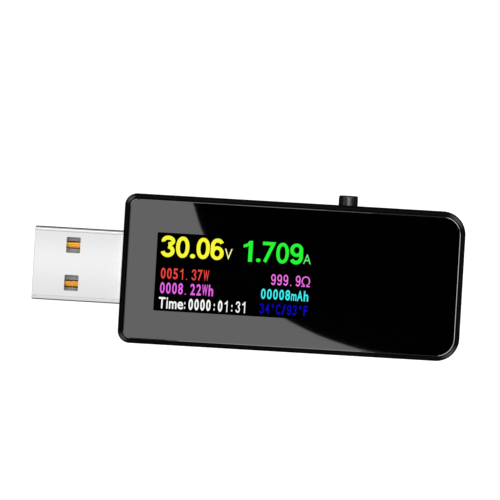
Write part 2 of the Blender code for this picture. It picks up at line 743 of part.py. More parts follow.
def tube_loops(width, bottom, top, radius):
    """The outer and inner outlines of a folded steel shell, as seen along X."""
    outer = rounded_rectangle((-width / 2, bottom), (width / 2, top), radius, steps=3)
    inner = rounded_rectangle(
        (-width / 2 + STEEL, bottom + STEEL),
        (width / 2 - STEEL, top - STEEL),
        radius - STEEL,
        steps=3,
    )
    return [outer, inner]


def leg(name, x, y):
    """A board leg that rises from a connector shell's side wall."""
    low = (x - LEG_LENGTH / 2, y - STEEL / 2 + 0.02 * MM, BOARD_BOTTOM - 1.4 * MM)
    high = (x + LEG_LENGTH / 2, y + STEEL / 2 - 0.02 * MM, TAIL_TOP)
    return block(name, low, high)


def make_plug():
    """Folded steel shell with two latch windows, moulded insulator and four flat contacts."""
    loops = tube_loops(PLUG_WIDTH, PLUG_BOTTOM, PLUG_TOP, PLUG_CORNER)
    shell = plate("plug_shell", loops, PLUG_TIP, PLUG_REAR, "plug_steel", ALONG_X)
    for face, low, high in (
        ("front", PLUG_TOP - 2 * STEEL, PLUG_TOP + MM),
        ("back", PLUG_BOTTOM - MM, PLUG_BOTTOM + 2 * STEEL),
    ):
        for side in (-1, 1):
            centre = (PLUG_TIP + WINDOW_FROM_TIP, side * WINDOW_Y, (low + high) / 2)
            size = (WINDOW_LENGTH, WINDOW_WIDTH, high - low)
            cut(shell, centred_block(f"plug_window_{face}_{side + 1}", centre, size))
    for side in (-1, 1):
        join(shell, leg(f"plug_leg_{side + 1}", PLUG_LEG_X, side * (PLUG_WIDTH - STEEL) / 2))
    smooth(shell)

    inside = PLUG_WIDTH / 2 - STEEL - REST_GAP
    low = PLUG_BOTTOM + STEEL + REST_GAP
    face = PLUG_BOTTOM + STEEL + PLUG_TONGUE
    high = PLUG_TOP - STEEL - REST_GAP
    front = PLUG_TIP + 0.4 * MM
    cavity_end = PLUG_TIP + PLUG_CAVITY_DEPTH
    rear = PLUG_REAR + 0.2 * MM
    floor = [(front, low), (rear, low), (rear, high)]
    side_view = floor + [(cavity_end, high), (cavity_end, face), (front, face)]
    insulator = plate("plug_insulator", [side_view], -inside, inside, "insulator_grey", ALONG_Y)
    soften(insulator, 0.2 * MM, 1)
    room = 0.1 * MM
    contact_z = face - CONTACT_THICKNESS / 2 + 0.04 * MM
    for name, y, _, setback in CONTACTS:
        start = front + 0.7 * MM + setback
        groove_low = contact_z - CONTACT_THICKNESS / 2 - REST_GAP
        groove_high = contact_z + CONTACT_THICKNESS / 2 + REST_GAP
        half = BLADE_WIDTH / 2 + room / 2
        low_corner = (start - room, y - half, groove_low)
        cut(insulator, block(f"plug_groove_{name}", low_corner, (rear + MM, y + half, groove_high)))
        path = [(start, contact_z), (PLUG_TAIL_X, contact_z), (PLUG_TAIL_X, TAIL_TOP)]
        contact = f"plug_contact_{name}"
        strip(contact, path, CONTACT_THICKNESS, BLADE_WIDTH, y, "contact_gold")


# ---- USB-A socket -------------------------------------------------------------------------------


def make_socket():
    """Folded steel shell with spring fingers, insulator with its tongue, and four spring contacts."""
    loops = tube_loops(SOCKET_WIDTH, SOCKET_BOTTOM, SOCKET_TOP, SOCKET_CORNER)
    shell = plate("socket_shell", loops, SOCKET_REAR, SOCKET_MOUTH, "plug_steel", ALONG_X)
    for side in (-1, 1):
        for i, x in enumerate(SOCKET_LEG_X):
            join(shell, leg(f"socket_leg_{side + 1}_{i}", x, side * (SOCKET_WIDTH - STEEL) / 2))
    add_spring_fingers(shell)
    smooth(shell)

    inside = SOCKET_WIDTH / 2 - STEEL - REST_GAP
    low = SOCKET_BOTTOM + STEEL + REST_GAP
    high = SOCKET_TOP - STEEL - REST_GAP
    rear = SOCKET_REAR + 0.2 * MM
    tongue_high = SOCKET_TONGUE_LOW + SOCKET_TONGUE
    back_low, back_high = (rear, -inside, low), (SOCKET_BLOCK_END, inside, high)
    insulator = block("socket_insulator", back_low, back_high, "insulator_grey")
    soften(insulator, 0.35 * MM, 1)
    half = SOCKET_TONGUE_WIDTH / 2
    tongue = block(
        "socket_tongue",
        (SOCKET_BLOCK_END - MM, -half, SOCKET_TONGUE_LOW),
        (SOCKET_TONGUE_END, half, tongue_high),
    )
    join(insulator, tongue)
    room = 0.12 * MM
    rest_z = SOCKET_TONGUE_LOW + 0.62 * MM
    bump_z = SOCKET_TONGUE_LOW - 0.5 * MM
    for name, _, y, _ in CONTACTS:
        low_corner = (rear - MM, y - CONTACT_WIDTH / 2 - room, SOCKET_TONGUE_LOW + 0.3 * MM)
        high_corner = (SOCKET_BLOCK_END + MM, y + CONTACT_WIDTH / 2 + room, rest_z + 0.2 * MM)
        cut(insulator, block(f"socket_tunnel_{name}", low_corner, high_corner))
        low_corner = (SOCKET_BLOCK_END - 0.01 * MM, low_corner[1], SOCKET_TONGUE_LOW - MM)
        high_corner = (SOCKET_TONGUE_END - 0.5 * MM, high_corner[1], rest_z + 0.21 * MM)
        cut(insulator, block(f"socket_groove_{name}", low_corner, high_corner))
        path = [
            (SOCKET_TAIL_X, TAIL_TOP),
            (SOCKET_TAIL_X, rest_z),
            (SOCKET_BLOCK_END + 1.2 * MM, rest_z),
            (SOCKET_TONGUE_END - 3.2 * MM, bump_z + 0.18 * MM),
            (SOCKET_TONGUE_END - 2.6 * MM, bump_z),
            (SOCKET_TONGUE_END - 2.1 * MM, bump_z + 0.18 * MM),
            (SOCKET_TONGUE_END - 1.0 * MM, rest_z - 0.1 * MM),
        ]
        contact = f"socket_contact_{name}"
        strip(contact, path, SPRING_THICKNESS, CONTACT_WIDTH, y, "contact_gold")


def add_spring_fingers(shell):
    """Two spring fingers in the lower wall and one in each side wall, cut free and bent inwards."""
    finger_length = 4.6 * MM
    tip = SOCKET_MOUTH - 3.0 * MM
    root = tip - finger_length
    bend = 0.28 * MM
    width = 1.8 * MM
    room = 0.3 * MM
    low_wall = SOCKET_BOTTOM + STEEL / 2
    sheet = STEEL - 0.06 * MM
    for side in (-1, 1):
        y = side * 3.0 * MM
        cut(
            shell,
            block(
                f"finger_slot_low_{side + 1}",
                (root, y - width / 2 - room, SOCKET_BOTTOM - MM),
                (tip + room, y + width / 2 + room, SOCKET_BOTTOM + 2 * STEEL),
            ),
        )
        path = [
            (root - 0.5 * MM, low_wall),
            (root, low_wall),
            (tip - 1.4 * MM, low_wall + bend),
            (tip, low_wall + 0.02 * MM),
        ]
        join(shell, strip(f"finger_low_{side + 1}", path, sheet, width, y, "plug_steel"))
        wall_y = side * (SOCKET_WIDTH - STEEL) / 2
        cut(
            shell,
            centred_block(
                f"finger_slot_side_{side + 1}",
                ((root + tip + room) / 2, wall_y, SOCKET_MIDDLE),
                (finger_length + room, 4 * STEEL, width + 2 * room),
            ),
        )
        side_path = [
            (root - 0.5 * MM, wall_y),
            (root, wall_y),
            (tip - 1.4 * MM, wall_y - side * bend),
            (tip, wall_y - side * 0.02 * MM),
        ]
        outline = strip_outline(side_path, sheet)
        finger = plate(
            f"finger_side_{side + 1}", [outline], SOCKET_MIDDLE - width / 2, SOCKET_MIDDLE + width / 2
        )
        join(shell, finger)


# ---- Side switch and button ---------------------------------------------------------------------


def make_switch():
    """Right-angle tactile switch: housing, steel bracket, snap dome, two terminals and the plunger."""
    half = SWITCH_WIDTH / 2
    top = BOARD_BOTTOM - REST_GAP
    bottom = top - SWITCH_HEIGHT
    housing = block(
        "switch_housing",
        (BUTTON_X - half, SWITCH_REAR, bottom),
        (BUTTON_X + half, SWITCH_FRONT, top),
        "chip_black",
    )
    axis = (BUTTON_X, BUTTON_Z)
    bore = FLANGE_RADIUS + 0.12 * MM
    seat = DOME_SEAT_Y - REST_GAP
    cut(housing, rod("switch_bore", bore, seat, SWITCH_FRONT + MM, axis, axis="Y"))

    inner, outer = BRACKET_SIDE_X, BRACKET_SIDE_X + STEEL
    back = SWITCH_REAR + 0.6 * MM
    face = BRACKET_FRONT - STEEL
    horseshoe = [
        (-outer, back),
        (-inner, back),
        (-inner, face),
        (inner, face),
        (inner, back),
        (outer, back),
        (outer, BRACKET_FRONT),
        (-outer, BRACKET_FRONT),
    ]
    outline = [(BUTTON_X + x, y) for x, y in horseshoe]
    bracket = plate("switch_bracket", [outline], bottom + 0.1 * MM, top, "spring_steel")
    for side in (-1, 1):
        middle = BUTTON_X + side * (inner + outer) / 2
        low = (middle - STEEL / 2 + 0.01 * MM, BRACKET_LEG_Y[0], top - MM)
        high = (middle + STEEL / 2 - 0.01 * MM, BRACKET_LEG_Y[1], TAIL_TOP)
        join(bracket, block(f"bracket_leg_{side + 1}", low, high))
        make_terminal("switch_terminal_left" if side < 0 else "switch_terminal_right", side)
    hole_radius = BUTTON_RADIUS + BUTTON_GAP
    cut(bracket, rod("bracket_hole", hole_radius, face - MM, BRACKET_FRONT + MM, axis, axis="Y"))

    make_snap_dome()
    make_button()


def make_terminal(name, side):
    """A bent terminal, from the back of the housing up to a foot against the board."""
    thickness = 0.2 * MM
    low = BUTTON_Z - 0.7 * MM
    high = BOARD_BOTTOM - REST_GAP - thickness / 2
    bend = SWITCH_REAR - 0.4 * MM
    path = [(SWITCH_REAR - REST_GAP, low), (bend, low), (bend, high), (bend - 0.9 * MM, high)]
    x = BUTTON_X + side * 1.9 * MM
    half = 0.35 * MM
    plate(name, [strip_outline(path, thickness)], x - half, x + half, "spring_steel", ALONG_X)


def make_snap_dome():
    """A thin domed disc whose crown faces the plunger."""
    steps = 6
    upper = [(DOME_RADIUS * i / steps, DOME_RISE * (1 - (i / steps) ** 2)) for i in range(steps + 1)]
    lower = [(r, h - DOME_THICKNESS) for r, h in reversed(upper)]
    profile = [(r, h + DOME_THICKNESS) for r, h in upper + lower]
    dome = turned("snap_dome", profile, (BUTTON_X, DOME_SEAT_Y, BUTTON_Z), "spring_steel", "Y", 16)
    smooth(dome)


def make_button():
    """The switch's plunger: a nub on the dome, a flange held behind the bracket, and the round button."""
    nub = DOME_SEAT_Y + DOME_RISE + DOME_THICKNESS + REST_GAP
    flange_front = BRACKET_FRONT - STEEL - REST_GAP
    flange_rear = flange_front - 0.8 * MM
    end = BUTTON_END - nub
    edge = arc(BUTTON_RADIUS - BUTTON_EDGE, end - BUTTON_EDGE, BUTTON_EDGE, 90, 0, 4)
    profile = [(0.0, end)] + edge
    profile += [
        (BUTTON_RADIUS, flange_front - nub),
        (FLANGE_RADIUS, flange_front - nub),
        (FLANGE_RADIUS, flange_rear - nub),
        (0.8 * MM, flange_rear - nub),
        (0.8 * MM, 0.0),
        (0.0, 0.0),
    ]
    button = turned("button", profile, (BUTTON_X, nub, BUTTON_Z), "button_black", "Y", 32)
    smooth(button)


def main():
    start_scene()
    make_front_shell()
    make_rear_shell()
    make_lens()
    make_display()
    make_board()
    make_components()
    make_plug()
    make_socket()
    make_switch()


main()
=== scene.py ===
"""Looks of a USB power meter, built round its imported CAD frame. Lengths are in metres, in the row frame."""
import math

import bmesh
import bpy
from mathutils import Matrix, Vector


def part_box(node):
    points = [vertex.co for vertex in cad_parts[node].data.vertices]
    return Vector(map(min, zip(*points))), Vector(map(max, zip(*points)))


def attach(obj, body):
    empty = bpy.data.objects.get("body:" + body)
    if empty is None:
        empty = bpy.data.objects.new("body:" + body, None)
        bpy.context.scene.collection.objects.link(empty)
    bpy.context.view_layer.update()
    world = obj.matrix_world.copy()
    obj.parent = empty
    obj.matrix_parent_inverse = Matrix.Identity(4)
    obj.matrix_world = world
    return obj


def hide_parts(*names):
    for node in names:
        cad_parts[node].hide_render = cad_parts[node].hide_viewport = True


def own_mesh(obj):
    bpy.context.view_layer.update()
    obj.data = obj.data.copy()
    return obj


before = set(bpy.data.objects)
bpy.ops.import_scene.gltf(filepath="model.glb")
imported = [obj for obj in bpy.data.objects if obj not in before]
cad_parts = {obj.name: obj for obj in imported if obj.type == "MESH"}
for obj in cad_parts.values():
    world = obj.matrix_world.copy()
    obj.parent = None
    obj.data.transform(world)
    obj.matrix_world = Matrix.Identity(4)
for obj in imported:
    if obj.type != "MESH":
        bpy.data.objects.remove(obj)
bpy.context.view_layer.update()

MM = 0.001

# ---- Sizes, from the CAD nodes ------------------------------------------------------------------

_, FRONT_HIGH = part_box("front_shell")
LENS_LOW, LENS_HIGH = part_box("front_lens")
POLARISER_LOW, POLARISER_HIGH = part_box("front_polariser")
PLUG_LOW, PLUG_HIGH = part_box("plug_shell")
SOCKET_LOW, SOCKET_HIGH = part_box("socket_shell")
BOARD_LOW, BOARD_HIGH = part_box("circuit_board")
BUTTON_LOW, BUTTON_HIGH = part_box("button")

GAP = 0.05 * MM  # between pieces that touch
OPENING_GAP = 0.15 * MM  # round a connector or the button in its opening
CASE_HALF = (FRONT_HIGH.x, FRONT_HIGH.y)
CASE_TOP = FRONT_HIGH.z
PLUG_END_RADIUS = 2.0 * MM
SOCKET_END_RADIUS = 3.8 * MM
CORNER_STEPS = 20
WALL = 1.2 * MM
CUT_DEPTH = WALL + 0.2 * MM
RIM_WIDTH = 0.68 * MM
LENS_SHIFT = (0.05 * MM, -0.06 * MM)
SEAM_Z = 5.0 * MM
SEAM_ROUND = 0.12 * MM
TONGUE_WIDTH = 0.55 * MM
TONGUE_DEPTH = 0.7 * MM
DECK_TOP = 11.35 * MM
DECK_BOTTOM = 10.65 * MM
DECK_BORDER = 0.4 * MM
POSTS = [(x, y) for x in (-20.0 * MM, 13.4 * MM) for y in (-9.5 * MM, 9.5 * MM)]
POST_RADIUS = 0.95 * MM
SCREEN_HALF = (13.1 * MM, 6.4 * MM)
SCREEN_CENTRE = ((POLARISER_LOW.x + POLARISER_HIGH.x) / 2, (POLARISER_LOW.y + POLARISER_HIGH.y) / 2)
STEEL = 0.3 * MM
FOLD_WIDTH = 0.07 * MM
CONNECTOR_TOP = BOARD_LOW.z - GAP
TAIL_TOP = BOARD_HIGH.z + 0.45 * MM
PLUG_WIDTH = 12.0 * MM
PLUG_SLEEVE_WIDTH = 12.1 * MM
PLUG_BOTTOM = CONNECTOR_TOP - 4.5 * MM
SOCKET_WIDTH = 13.1 * MM
SOCKET_BOTTOM = CONNECTOR_TOP - 5.72 * MM
BUTTON_AXIS = ((BUTTON_LOW.x + BUTTON_HIGH.x) / 2, 0.0, (BUTTON_LOW.z + BUTTON_HIGH.z) / 2)
BUTTON_RADIUS = 1.58 * MM

# ---- Materials ----------------------------------------------------------------------------------


def tints(colour, *shares):
    """A colour made darker or lighter, once for each share of its brightness."""
    return [[min(1.0, c * share) for c in colour] for share in shares]


class Nodes:
    """A node tree while it is built."""

    def __init__(self, owner, clear=True):
        owner.use_nodes = True
        self.tree = owner.node_tree
        if clear:
            self.tree.nodes.clear()

    def give(self, target, value):
        """Links an input to a socket, or sets its value. A colour leaves out its alpha."""
        if isinstance(value, bpy.types.NodeSocket):
            self.tree.links.new(value, target)
        else:
            target.default_value = (*value, 1.0) if target.type == "RGBA" else value

    def node(self, kind, inputs=(), **settings):
        made = self.tree.nodes.new("ShaderNode" + kind)
        for key, value in settings.items():
            setattr(made, key, value)
        for key, value in dict(inputs).items():
            self.give(made.inputs[key], value)
        return made

    def maths(self, operation, *values):
        return self.node("Math", enumerate(values), operation=operation).outputs[0]

    def span(self, value, low, high, to_low=0.0, to_high=1.0):
        """Maps a range of a value to another range, and holds it beyond the ends."""
        names = ("Value", "From Min", "From Max", "To Min", "To Max")
        return self.node("MapRange", zip(names, (value, low, high, to_low, to_high))).outputs["Result"]

    def blend(self, share, one, two):
        """A colour between two, by a share from 0 to 1."""
        factor, first, second, result = 0, 6, 7, 2
        return self.node("Mix", {factor: share, first: one, second: two}, data_type="RGBA").outputs[result]

    def part(self, axis, space="Object"):
        """One coordinate."""
        places = self.node("TexCoord").outputs[space]
        return self.node("SeparateXYZ", {0: places}).outputs[axis]

    def ramp(self, place, stops):
        """A grey by a place from 0 to 1, through (place, grey) stops."""
        made = self.node("ValToRGB", {"Fac": place})
        elements = made.color_ramp.elements
        for _ in stops[2:]:
            elements.new(0.5)
        for element, (position, grey) in zip(elements, stops):
            element.position = position
            element.color = (grey, grey, grey, 1.0)
        return made.outputs["Color"]


class Look(Nodes):
    """A Principled material and the nodes that vary it, in the object's own coordinates."""

    def __init__(self, name, colour, roughness, metallic=0.0, **sockets):
        self.material = bpy.data.materials.new(name)
        self.material.diffuse_color = (*colour, 1.0)
        super().__init__(self.material, clear=False)
        self.shader = self.tree.nodes["Principled BSDF"]
        self.colour = colour
        sockets.update(Base_Color=colour, Roughness=roughness, Metallic=metallic)
        for socket, value in sockets.items():
            self.link(value, socket.replace("_", " "))

    def link(self, value, socket):
        """Gives the shader a value, or another node's output."""
        self.give(self.shader.inputs[socket], value)

    def at(self, stretch=(1.0, 1.0, 1.0)):
        """Coordinates, stretched so that a texture is drawn out along an axis."""
        places = self.node("TexCoord").outputs["Object"]
        return self.node("VectorMath", {0: places, 1: stretch}, operation="MULTIPLY").outputs[0]

    def noise(self, size, detail=2.0, stretch=(1.0, 1.0, 1.0)):
        """Noise from 0 to 1 whose features are about as big as the size."""
        inputs = {"Vector": self.at(stretch), "Scale": 1.0 / size, "Detail": detail, "Roughness": 0.5}
        return self.node("TexNoise", inputs).outputs["Fac"]

    def grid(self, pitch):
        """For X and for Y: 0 on the lines of a square grid, and 1 midway between them."""
        return [self.maths("MULTIPLY", self.maths("PINGPONG", self.part(axis), pitch / 2), 2 / pitch)
                for axis in "XY"]

    def ends(self, axis, share):
        """1 beyond the middle share of the piece along one of its axes, and 0 within it."""
        away = self.maths("ABSOLUTE", self.maths("SUBTRACT", self.part(axis, "Generated"), 0.5))
        return self.maths("GREATER_THAN", away, share / 2)

    def vary(self, size, amount):
        """Lets the colour wander round its value by an amount."""
        mottle = self.span(self.noise(size, 3.0), 0.3, 0.7)
        self.link(self.blend(mottle, *tints(self.colour, 1 - amount, 1 + amount)), "Base Color")

    def gloss(self, size, low, high):
        """Lets the roughness wander between two values."""
        self.link(self.span(self.noise(size), 0.3, 0.7, low, high), "Roughness")

    def bump(self, height, depth):
        """Raises the surface by a height from 0 to 1, as deep as given."""
        made = self.node("Bump", {"Height": height, "Distance": depth, "Strength": 1.0})
        self.link(made.outputs[0], "Normal")


def plain_look(name, colour, roughness, grain, depth, amount, **sockets):
    """A moulded, fired or stamped surface: colour and gloss wander, and a fine grain is in its bump."""
    look = Look(name, colour, roughness, **sockets)
    look.vary(18 * grain, amount)
    look.gloss(9 * grain, roughness * 0.88, min(1.0, roughness * 1.15))
    look.bump(look.noise(grain, 3.0), depth)
    return look.material


def case_look():
    """Black moulded plastic with spark-eroded grain. Its specular level is raised at the front corners of the
    rim, which paints highlights there; on the rest of the front it is near zero, and on the sides 0.55.
    """
    look = Look("case_black_moulded", (0.0013, 0.0013, 0.0014), 0.40)
    fine = look.noise(0.09 * MM, 3.0)
    coarse = look.noise(0.35 * MM, 2.0)
    look.vary(4 * MM, 0.2)
    look.gloss(3 * MM, 0.36, 0.48)
    along, across = look.part("X"), look.maths("ABSOLUTE", look.part("Y"))
    # Painted highlights: masks that raise the specular level at the rim's front corners, at the plug end and
    # at the socket end.
    plug_end_highlight = look.maths("MULTIPLY", look.span(along, -26.9 * MM, -26.2 * MM, 0.9, 0.0),
                          look.span(across, 10.5 * MM, 11.3 * MM))
    socket_end_highlight = look.maths("MULTIPLY", look.span(along, 25.0 * MM, 26.3 * MM, 0.0, 0.6),
                            look.span(across, 9.5 * MM, 10.7 * MM))
    front = look.span(look.maths("ADD", plug_end_highlight, socket_end_highlight), 0.0, 1.0, 0.02, 0.9)
    sides = look.span(look.part("Z"), CASE_TOP - 0.60 * MM, CASE_TOP - 0.45 * MM, 1.0, 0.0)
    look.link(look.maths("MAXIMUM", front, look.maths("MULTIPLY", sides, 0.55)), "Specular IOR Level")
    look.bump(look.maths("ADD", fine, look.maths("MULTIPLY", coarse, 0.5)), 0.003 * MM)
    return look.material


LENS_BLACK = (0.0002, 0.0002, 0.00025)


def lens_border_look():
    """Hard clear sheet over black print: mirror gloss with hair-fine wipe marks."""
    look = Look("lens_black_gloss", LENS_BLACK, 0.02)
    streaks = look.noise(0.5 * MM, 2.0, (1.0, 6.0, 1.0))
    look.link(look.span(streaks, 0.35, 0.75, 0.012, 0.024), "Roughness")
    look.vary(6 * MM, 0.15)
    return look.material


def clear_look(name, colour, roughness, gloss, mottle=None, **sockets):
    """A smooth clear sheet: its gloss wanders by (size, low, high), and its colour by (size, amount)."""
    look = Look(name, colour, roughness, **sockets)
    look.gloss(*gloss)
    if mottle:
        look.vary(*mottle)
    return look.material


SCREEN_PITCH = 0.08 * MM


def film_look():
    """The display's dark polariser, with the faint grid of its picture elements."""
    look = Look("polariser_black", (0.0003, 0.0003, 0.0004), 0.45, Specular_IOR_Level=0.0)
    grid = look.maths("MULTIPLY", *look.grid(SCREEN_PITCH))
    look.link(look.blend(grid, (0.0002, 0.0002, 0.0003), (0.0005, 0.0005, 0.0007)), "Base Color")
    return look.material


def lit_look(name, colour):
    """A lit colour of the readout, drawn by the display's fine grid."""
    look = Look("readout_" + name, tuple(c * 0.02 for c in colour), 0.5, Specular_IOR_Level=0.0)
    grid = look.span(look.maths("MINIMUM", *look.grid(SCREEN_PITCH)), 0.0, 0.5)
    look.link(look.blend(grid, *tints(colour, 0.82, 1.08)), "Emission Color")
    look.link(1.04, "Emission Strength")
    return look.material


def steel_look(name, colour, roughness):
    """Nickel-plated steel strip, with the fine lines it was rolled with and small handling marks."""
    look = Look(name, colour, roughness, 1.0)
    rolled = look.noise(0.05 * MM, 2.0, (0.04, 1.0, 1.0))
    marks = look.maths("ADD", rolled, look.noise(1.6 * MM, 3.0))
    look.link(look.span(marks, 0.6, 1.4, roughness * 0.8, roughness * 1.3), "Roughness")
    look.link(look.blend(look.span(rolled, 0.3, 0.7), *tints(colour, 0.975, 1.02)), "Base Color")
    look.bump(rolled, 0.0004 * MM)
    return look.material


def gold_look():
    """Gold-plated contact, worn a little along its length."""
    look = Look("contact_gold_plate", (0.97, 0.44, 0.05), 0.24, 1.0)
    wiped = look.noise(0.12 * MM, 2.0, (0.08, 1.0, 1.0))
    worn = look.blend(look.span(wiped, 0.35, 0.7), (0.93, 0.38, 0.03), (0.99, 0.50, 0.085))
    look.link(worn, "Base Color")
    look.gloss(0.6 * MM, 0.18, 0.3)
    look.bump(wiped, 0.0008 * MM)
    return look.material


def board_look():
    """Glass-epoxy board under green solder mask: copper tracks show through it, and round bare pads."""
    look = Look("board_green_mask", (0.010, 0.085, 0.035), 0.35, Coat_Weight=0.3, Coat_Roughness=0.12)
    bricks = {"Vector": look.at(), "Scale": 900.0, "Mortar Size": 0.035,
              "Color1": (1.0, 1.0, 1.0), "Color2": (0.8, 0.8, 0.8), "Mortar": (0.0, 0.0, 0.0)}
    tracks = look.node("TexBrick", bricks).outputs
    cells = look.node("TexVoronoi", {"Vector": look.at(), "Scale": 1.0 / (2.1 * MM)}).outputs["Distance"]
    vias = look.span(cells, 0.10, 0.13, 1.0, 0.0)
    mask = look.blend(tracks["Color"], (0.022, 0.17, 0.06), (0.008, 0.075, 0.03))
    look.link(look.blend(vias, mask, (0.62, 0.58, 0.42)), "Base Color")
    look.link(look.span(vias, 0.0, 1.0, 0.0, 0.9), "Metallic")
    look.bump(look.maths("ADD", tracks["Fac"], look.noise(0.25 * MM)), 0.006 * MM)
    return look.material


def tinned(look, leads, body, tin, roughness, grain, depth):
    """Parts a package's body from its tinned leads, and gives both a fine grain."""
    look.link(look.blend(leads, body, tin), "Base Color")
    look.link(leads, "Metallic")
    look.link(look.span(leads, 0.0, 1.0, *roughness), "Roughness")
    look.bump(look.noise(grain, 3.0), depth)
    return look.material


def chip_look(name, axis, share, both=False):
    """Black moulded package with tinned leads beyond its middle, and a small dimple grain."""
    look = Look(name, (0.015, 0.015, 0.016), 0.55)
    leads = look.ends(axis, share)
    if both:
        leads = look.maths("MAXIMUM", leads, look.ends("Y", share))
    body = look.blend(look.noise(0.6 * MM), (0.011, 0.011, 0.012), (0.022, 0.022, 0.023))
    tin = look.blend(look.noise(0.2 * MM), (0.60, 0.60, 0.61), (0.75, 0.75, 0.74))
    return tinned(look, leads, body, tin, (0.58, 0.28), 0.05 * MM, 0.002 * MM)


def passive_look(name, body_colours, axis, share):
    """A chip part: a fired body between two tinned ends."""
    look = Look(name, body_colours[0], 0.45)
    body = look.blend(look.noise(0.3 * MM, 3.0), *body_colours)
    tin = look.blend(look.noise(0.15 * MM), (0.58, 0.58, 0.59), (0.74, 0.74, 0.73))
    return tinned(look, look.ends(axis, share), body, tin, (0.5, 0.3), 0.07 * MM, 0.003 * MM)


def flex_look():
    """Amber film with its row of copper lines along X."""
    look = Look("flex_amber_film", (0.42, 0.19, 0.04), 0.32)
    pitch = 0.5 * MM
    lines = look.maths("GREATER_THAN", look.maths("PINGPONG", look.part("Y"), pitch / 2), pitch / 4)
    film = look.blend(look.noise(1.0 * MM), (0.36, 0.15, 0.03), (0.48, 0.22, 0.05))
    look.link(look.blend(lines, film, (0.62, 0.27, 0.09)), "Base Color")
    look.link(look.span(lines, 0.0, 1.0, 0.1, 0.6), "Metallic")
    look.bump(lines, 0.01 * MM)
    return look.material


CASE = case_look()
LENS_LOOKS = [
    lens_border_look(),
    # The window is coated against reflection.
    clear_look("lens_window_clear", (0.0, 0.0, 0.0), 0.03, (2 * MM, 0.02, 0.05), Specular_IOR_Level=0.0,
               Alpha=0.03),
    # The edge is smooth and glossy. Where it is given this look, it reflects far more than the face (IOR
    # 1.9), which paints highlights along those sides.
    clear_look("lens_edge_painted_highlight", LENS_BLACK, 0.02, (0.8 * MM, 0.014, 0.026), (3 * MM, 0.15), IOR=1.9,
               Specular_IOR_Level=0.83),
]
STEEL_PLATED = steel_look("plug_nickel_steel", (0.80, 0.80, 0.805), 0.065)
STEEL_SOCKET = steel_look("socket_nickel_steel", (0.76, 0.76, 0.77), 0.17)
STEEL_SPRING = steel_look("switch_spring_steel", (0.62, 0.62, 0.63), 0.24)
INSULATOR = plain_look("insulator_grey_moulded", (0.40, 0.40, 0.405), 0.5, 0.06 * MM, 0.002 * MM, 0.1)
GOLD = gold_look()
BUTTON = plain_look("button_black_moulded", (0.004, 0.004, 0.0042), 0.12, 0.08 * MM, 0.0004 * MM, 0.15)
WHITE = plain_look("tray_white_moulded", (0.78, 0.78, 0.76), 0.45, 0.1 * MM, 0.002 * MM, 0.05)
GUIDE = plain_look("light_guide_frosted", (0.80, 0.83, 0.85), 0.25, 0.2 * MM, 0.006 * MM, 0.05,
                   Coat_Weight=0.4)
FERRITE = plain_look("ferrite_grey_sintered", (0.085, 0.085, 0.09), 0.62, 0.07 * MM, 0.008 * MM, 0.3)
FOAM = plain_look("foam_grey_tape", (0.10, 0.10, 0.11), 0.95, 0.12 * MM, 0.03 * MM, 0.35)
TAPE = plain_look("adhesive_black_film", (0.006, 0.006, 0.0065), 0.6, 0.15 * MM, 0.002 * MM, 0.2)
HOUSING = plain_look("switch_black_moulded", (0.014, 0.014, 0.015), 0.48, 0.08 * MM, 0.003 * MM, 0.2)
# Display glass as seen from its edge: dark, with the faint green of float glass.
GLASS = clear_look("display_glass_dark", (0.05, 0.062, 0.06), 0.06, (1.5 * MM, 0.04, 0.09), (2 * MM, 0.25),
                   Coat_Weight=0.2)
CERAMIC = ((0.36, 0.23, 0.13), (0.48, 0.33, 0.21))
DARK_FILM = ((0.012, 0.012, 0.013), (0.024, 0.024, 0.026))

# The nodes that are seen as they are in the CAD, by their materials.
CARRIED = (
    (TAPE, ["lens_tape"]),
    (FOAM, ["display_foam_tape"]),
    (GLASS, ["lcd_filter_glass", "lcd_tft_glass"]),
    (flex_look(), ["display_flex"]),
    (WHITE, ["backlight_frame", "backlight_led_1", "backlight_led_2", "backlight_led_3"]),
    (GUIDE, ["light_guide"]),
    (board_look(), ["circuit_board"]),
    (FERRITE, ["buck_inductor"]),
    (STEEL_SPRING, ["crystal", "switch_bracket", "switch_terminal_left", "switch_terminal_right"]),
    (HOUSING, ["switch_housing"]),
    (chip_look("controller_black_epoxy", "X", 7 / 9, both=True), ["mcu_chip"]),
    (chip_look("memory_black_epoxy", "Y", 3.9 / 5.9), ["memory_chip"]),
    (chip_look("buck_black_epoxy", "Y", 1.6 / 2.8), ["buck_regulator"]),
    (chip_look("linear_black_epoxy", "Y", 1.5 / 2.7), ["ldo_regulator"]),
    (chip_look("driver_black_silicon", "Y", 1.1), ["display_driver_chip"]),
    (passive_look("shunt_dark_film", DARK_FILM, "X", 0.78), ["shunt_resistor"]),
    (passive_look("diode_dark_epoxy", DARK_FILM, "X", 0.84), ["flyback_diode"]),
    (passive_look("input_ceramic", CERAMIC, "Y", 0.68), ["input_capacitor"]),
    (passive_look("output_ceramic", CERAMIC, "X", 0.68), ["output_capacitor"]),
    (passive_look("small_ceramic", CERAMIC, "X", 0.6), [f"capacitor_{i}" for i in range(1, 5)]),
    (passive_look("small_dark_film", DARK_FILM, "X", 0.6), [f"resistor_{i}" for i in range(1, 5)]),
)

# ---- Mesh helpers -------------------------------------------------------------------------------


def arc(centre, radii, start_deg, end_deg, steps):
    """Points of an arc or an oval's arc, both ends included."""
    turn = [math.radians(start_deg + (end_deg - start_deg) * i / steps) for i in range(steps + 1)]
    return [(centre[0] + radii[0] * math.cos(a), centre[1] + radii[1] * math.sin(a)) for a in turn]


def quarter(radius, steps):
    """A rounded edge's points: the first distance grows from 0 to the radius while the second falls to 0."""
    turn = [math.pi / 2 * i / steps for i in range(steps + 1)]
    return [(radius * (1 - math.cos(a)), radius * (1 - math.sin(a))) for a in turn]


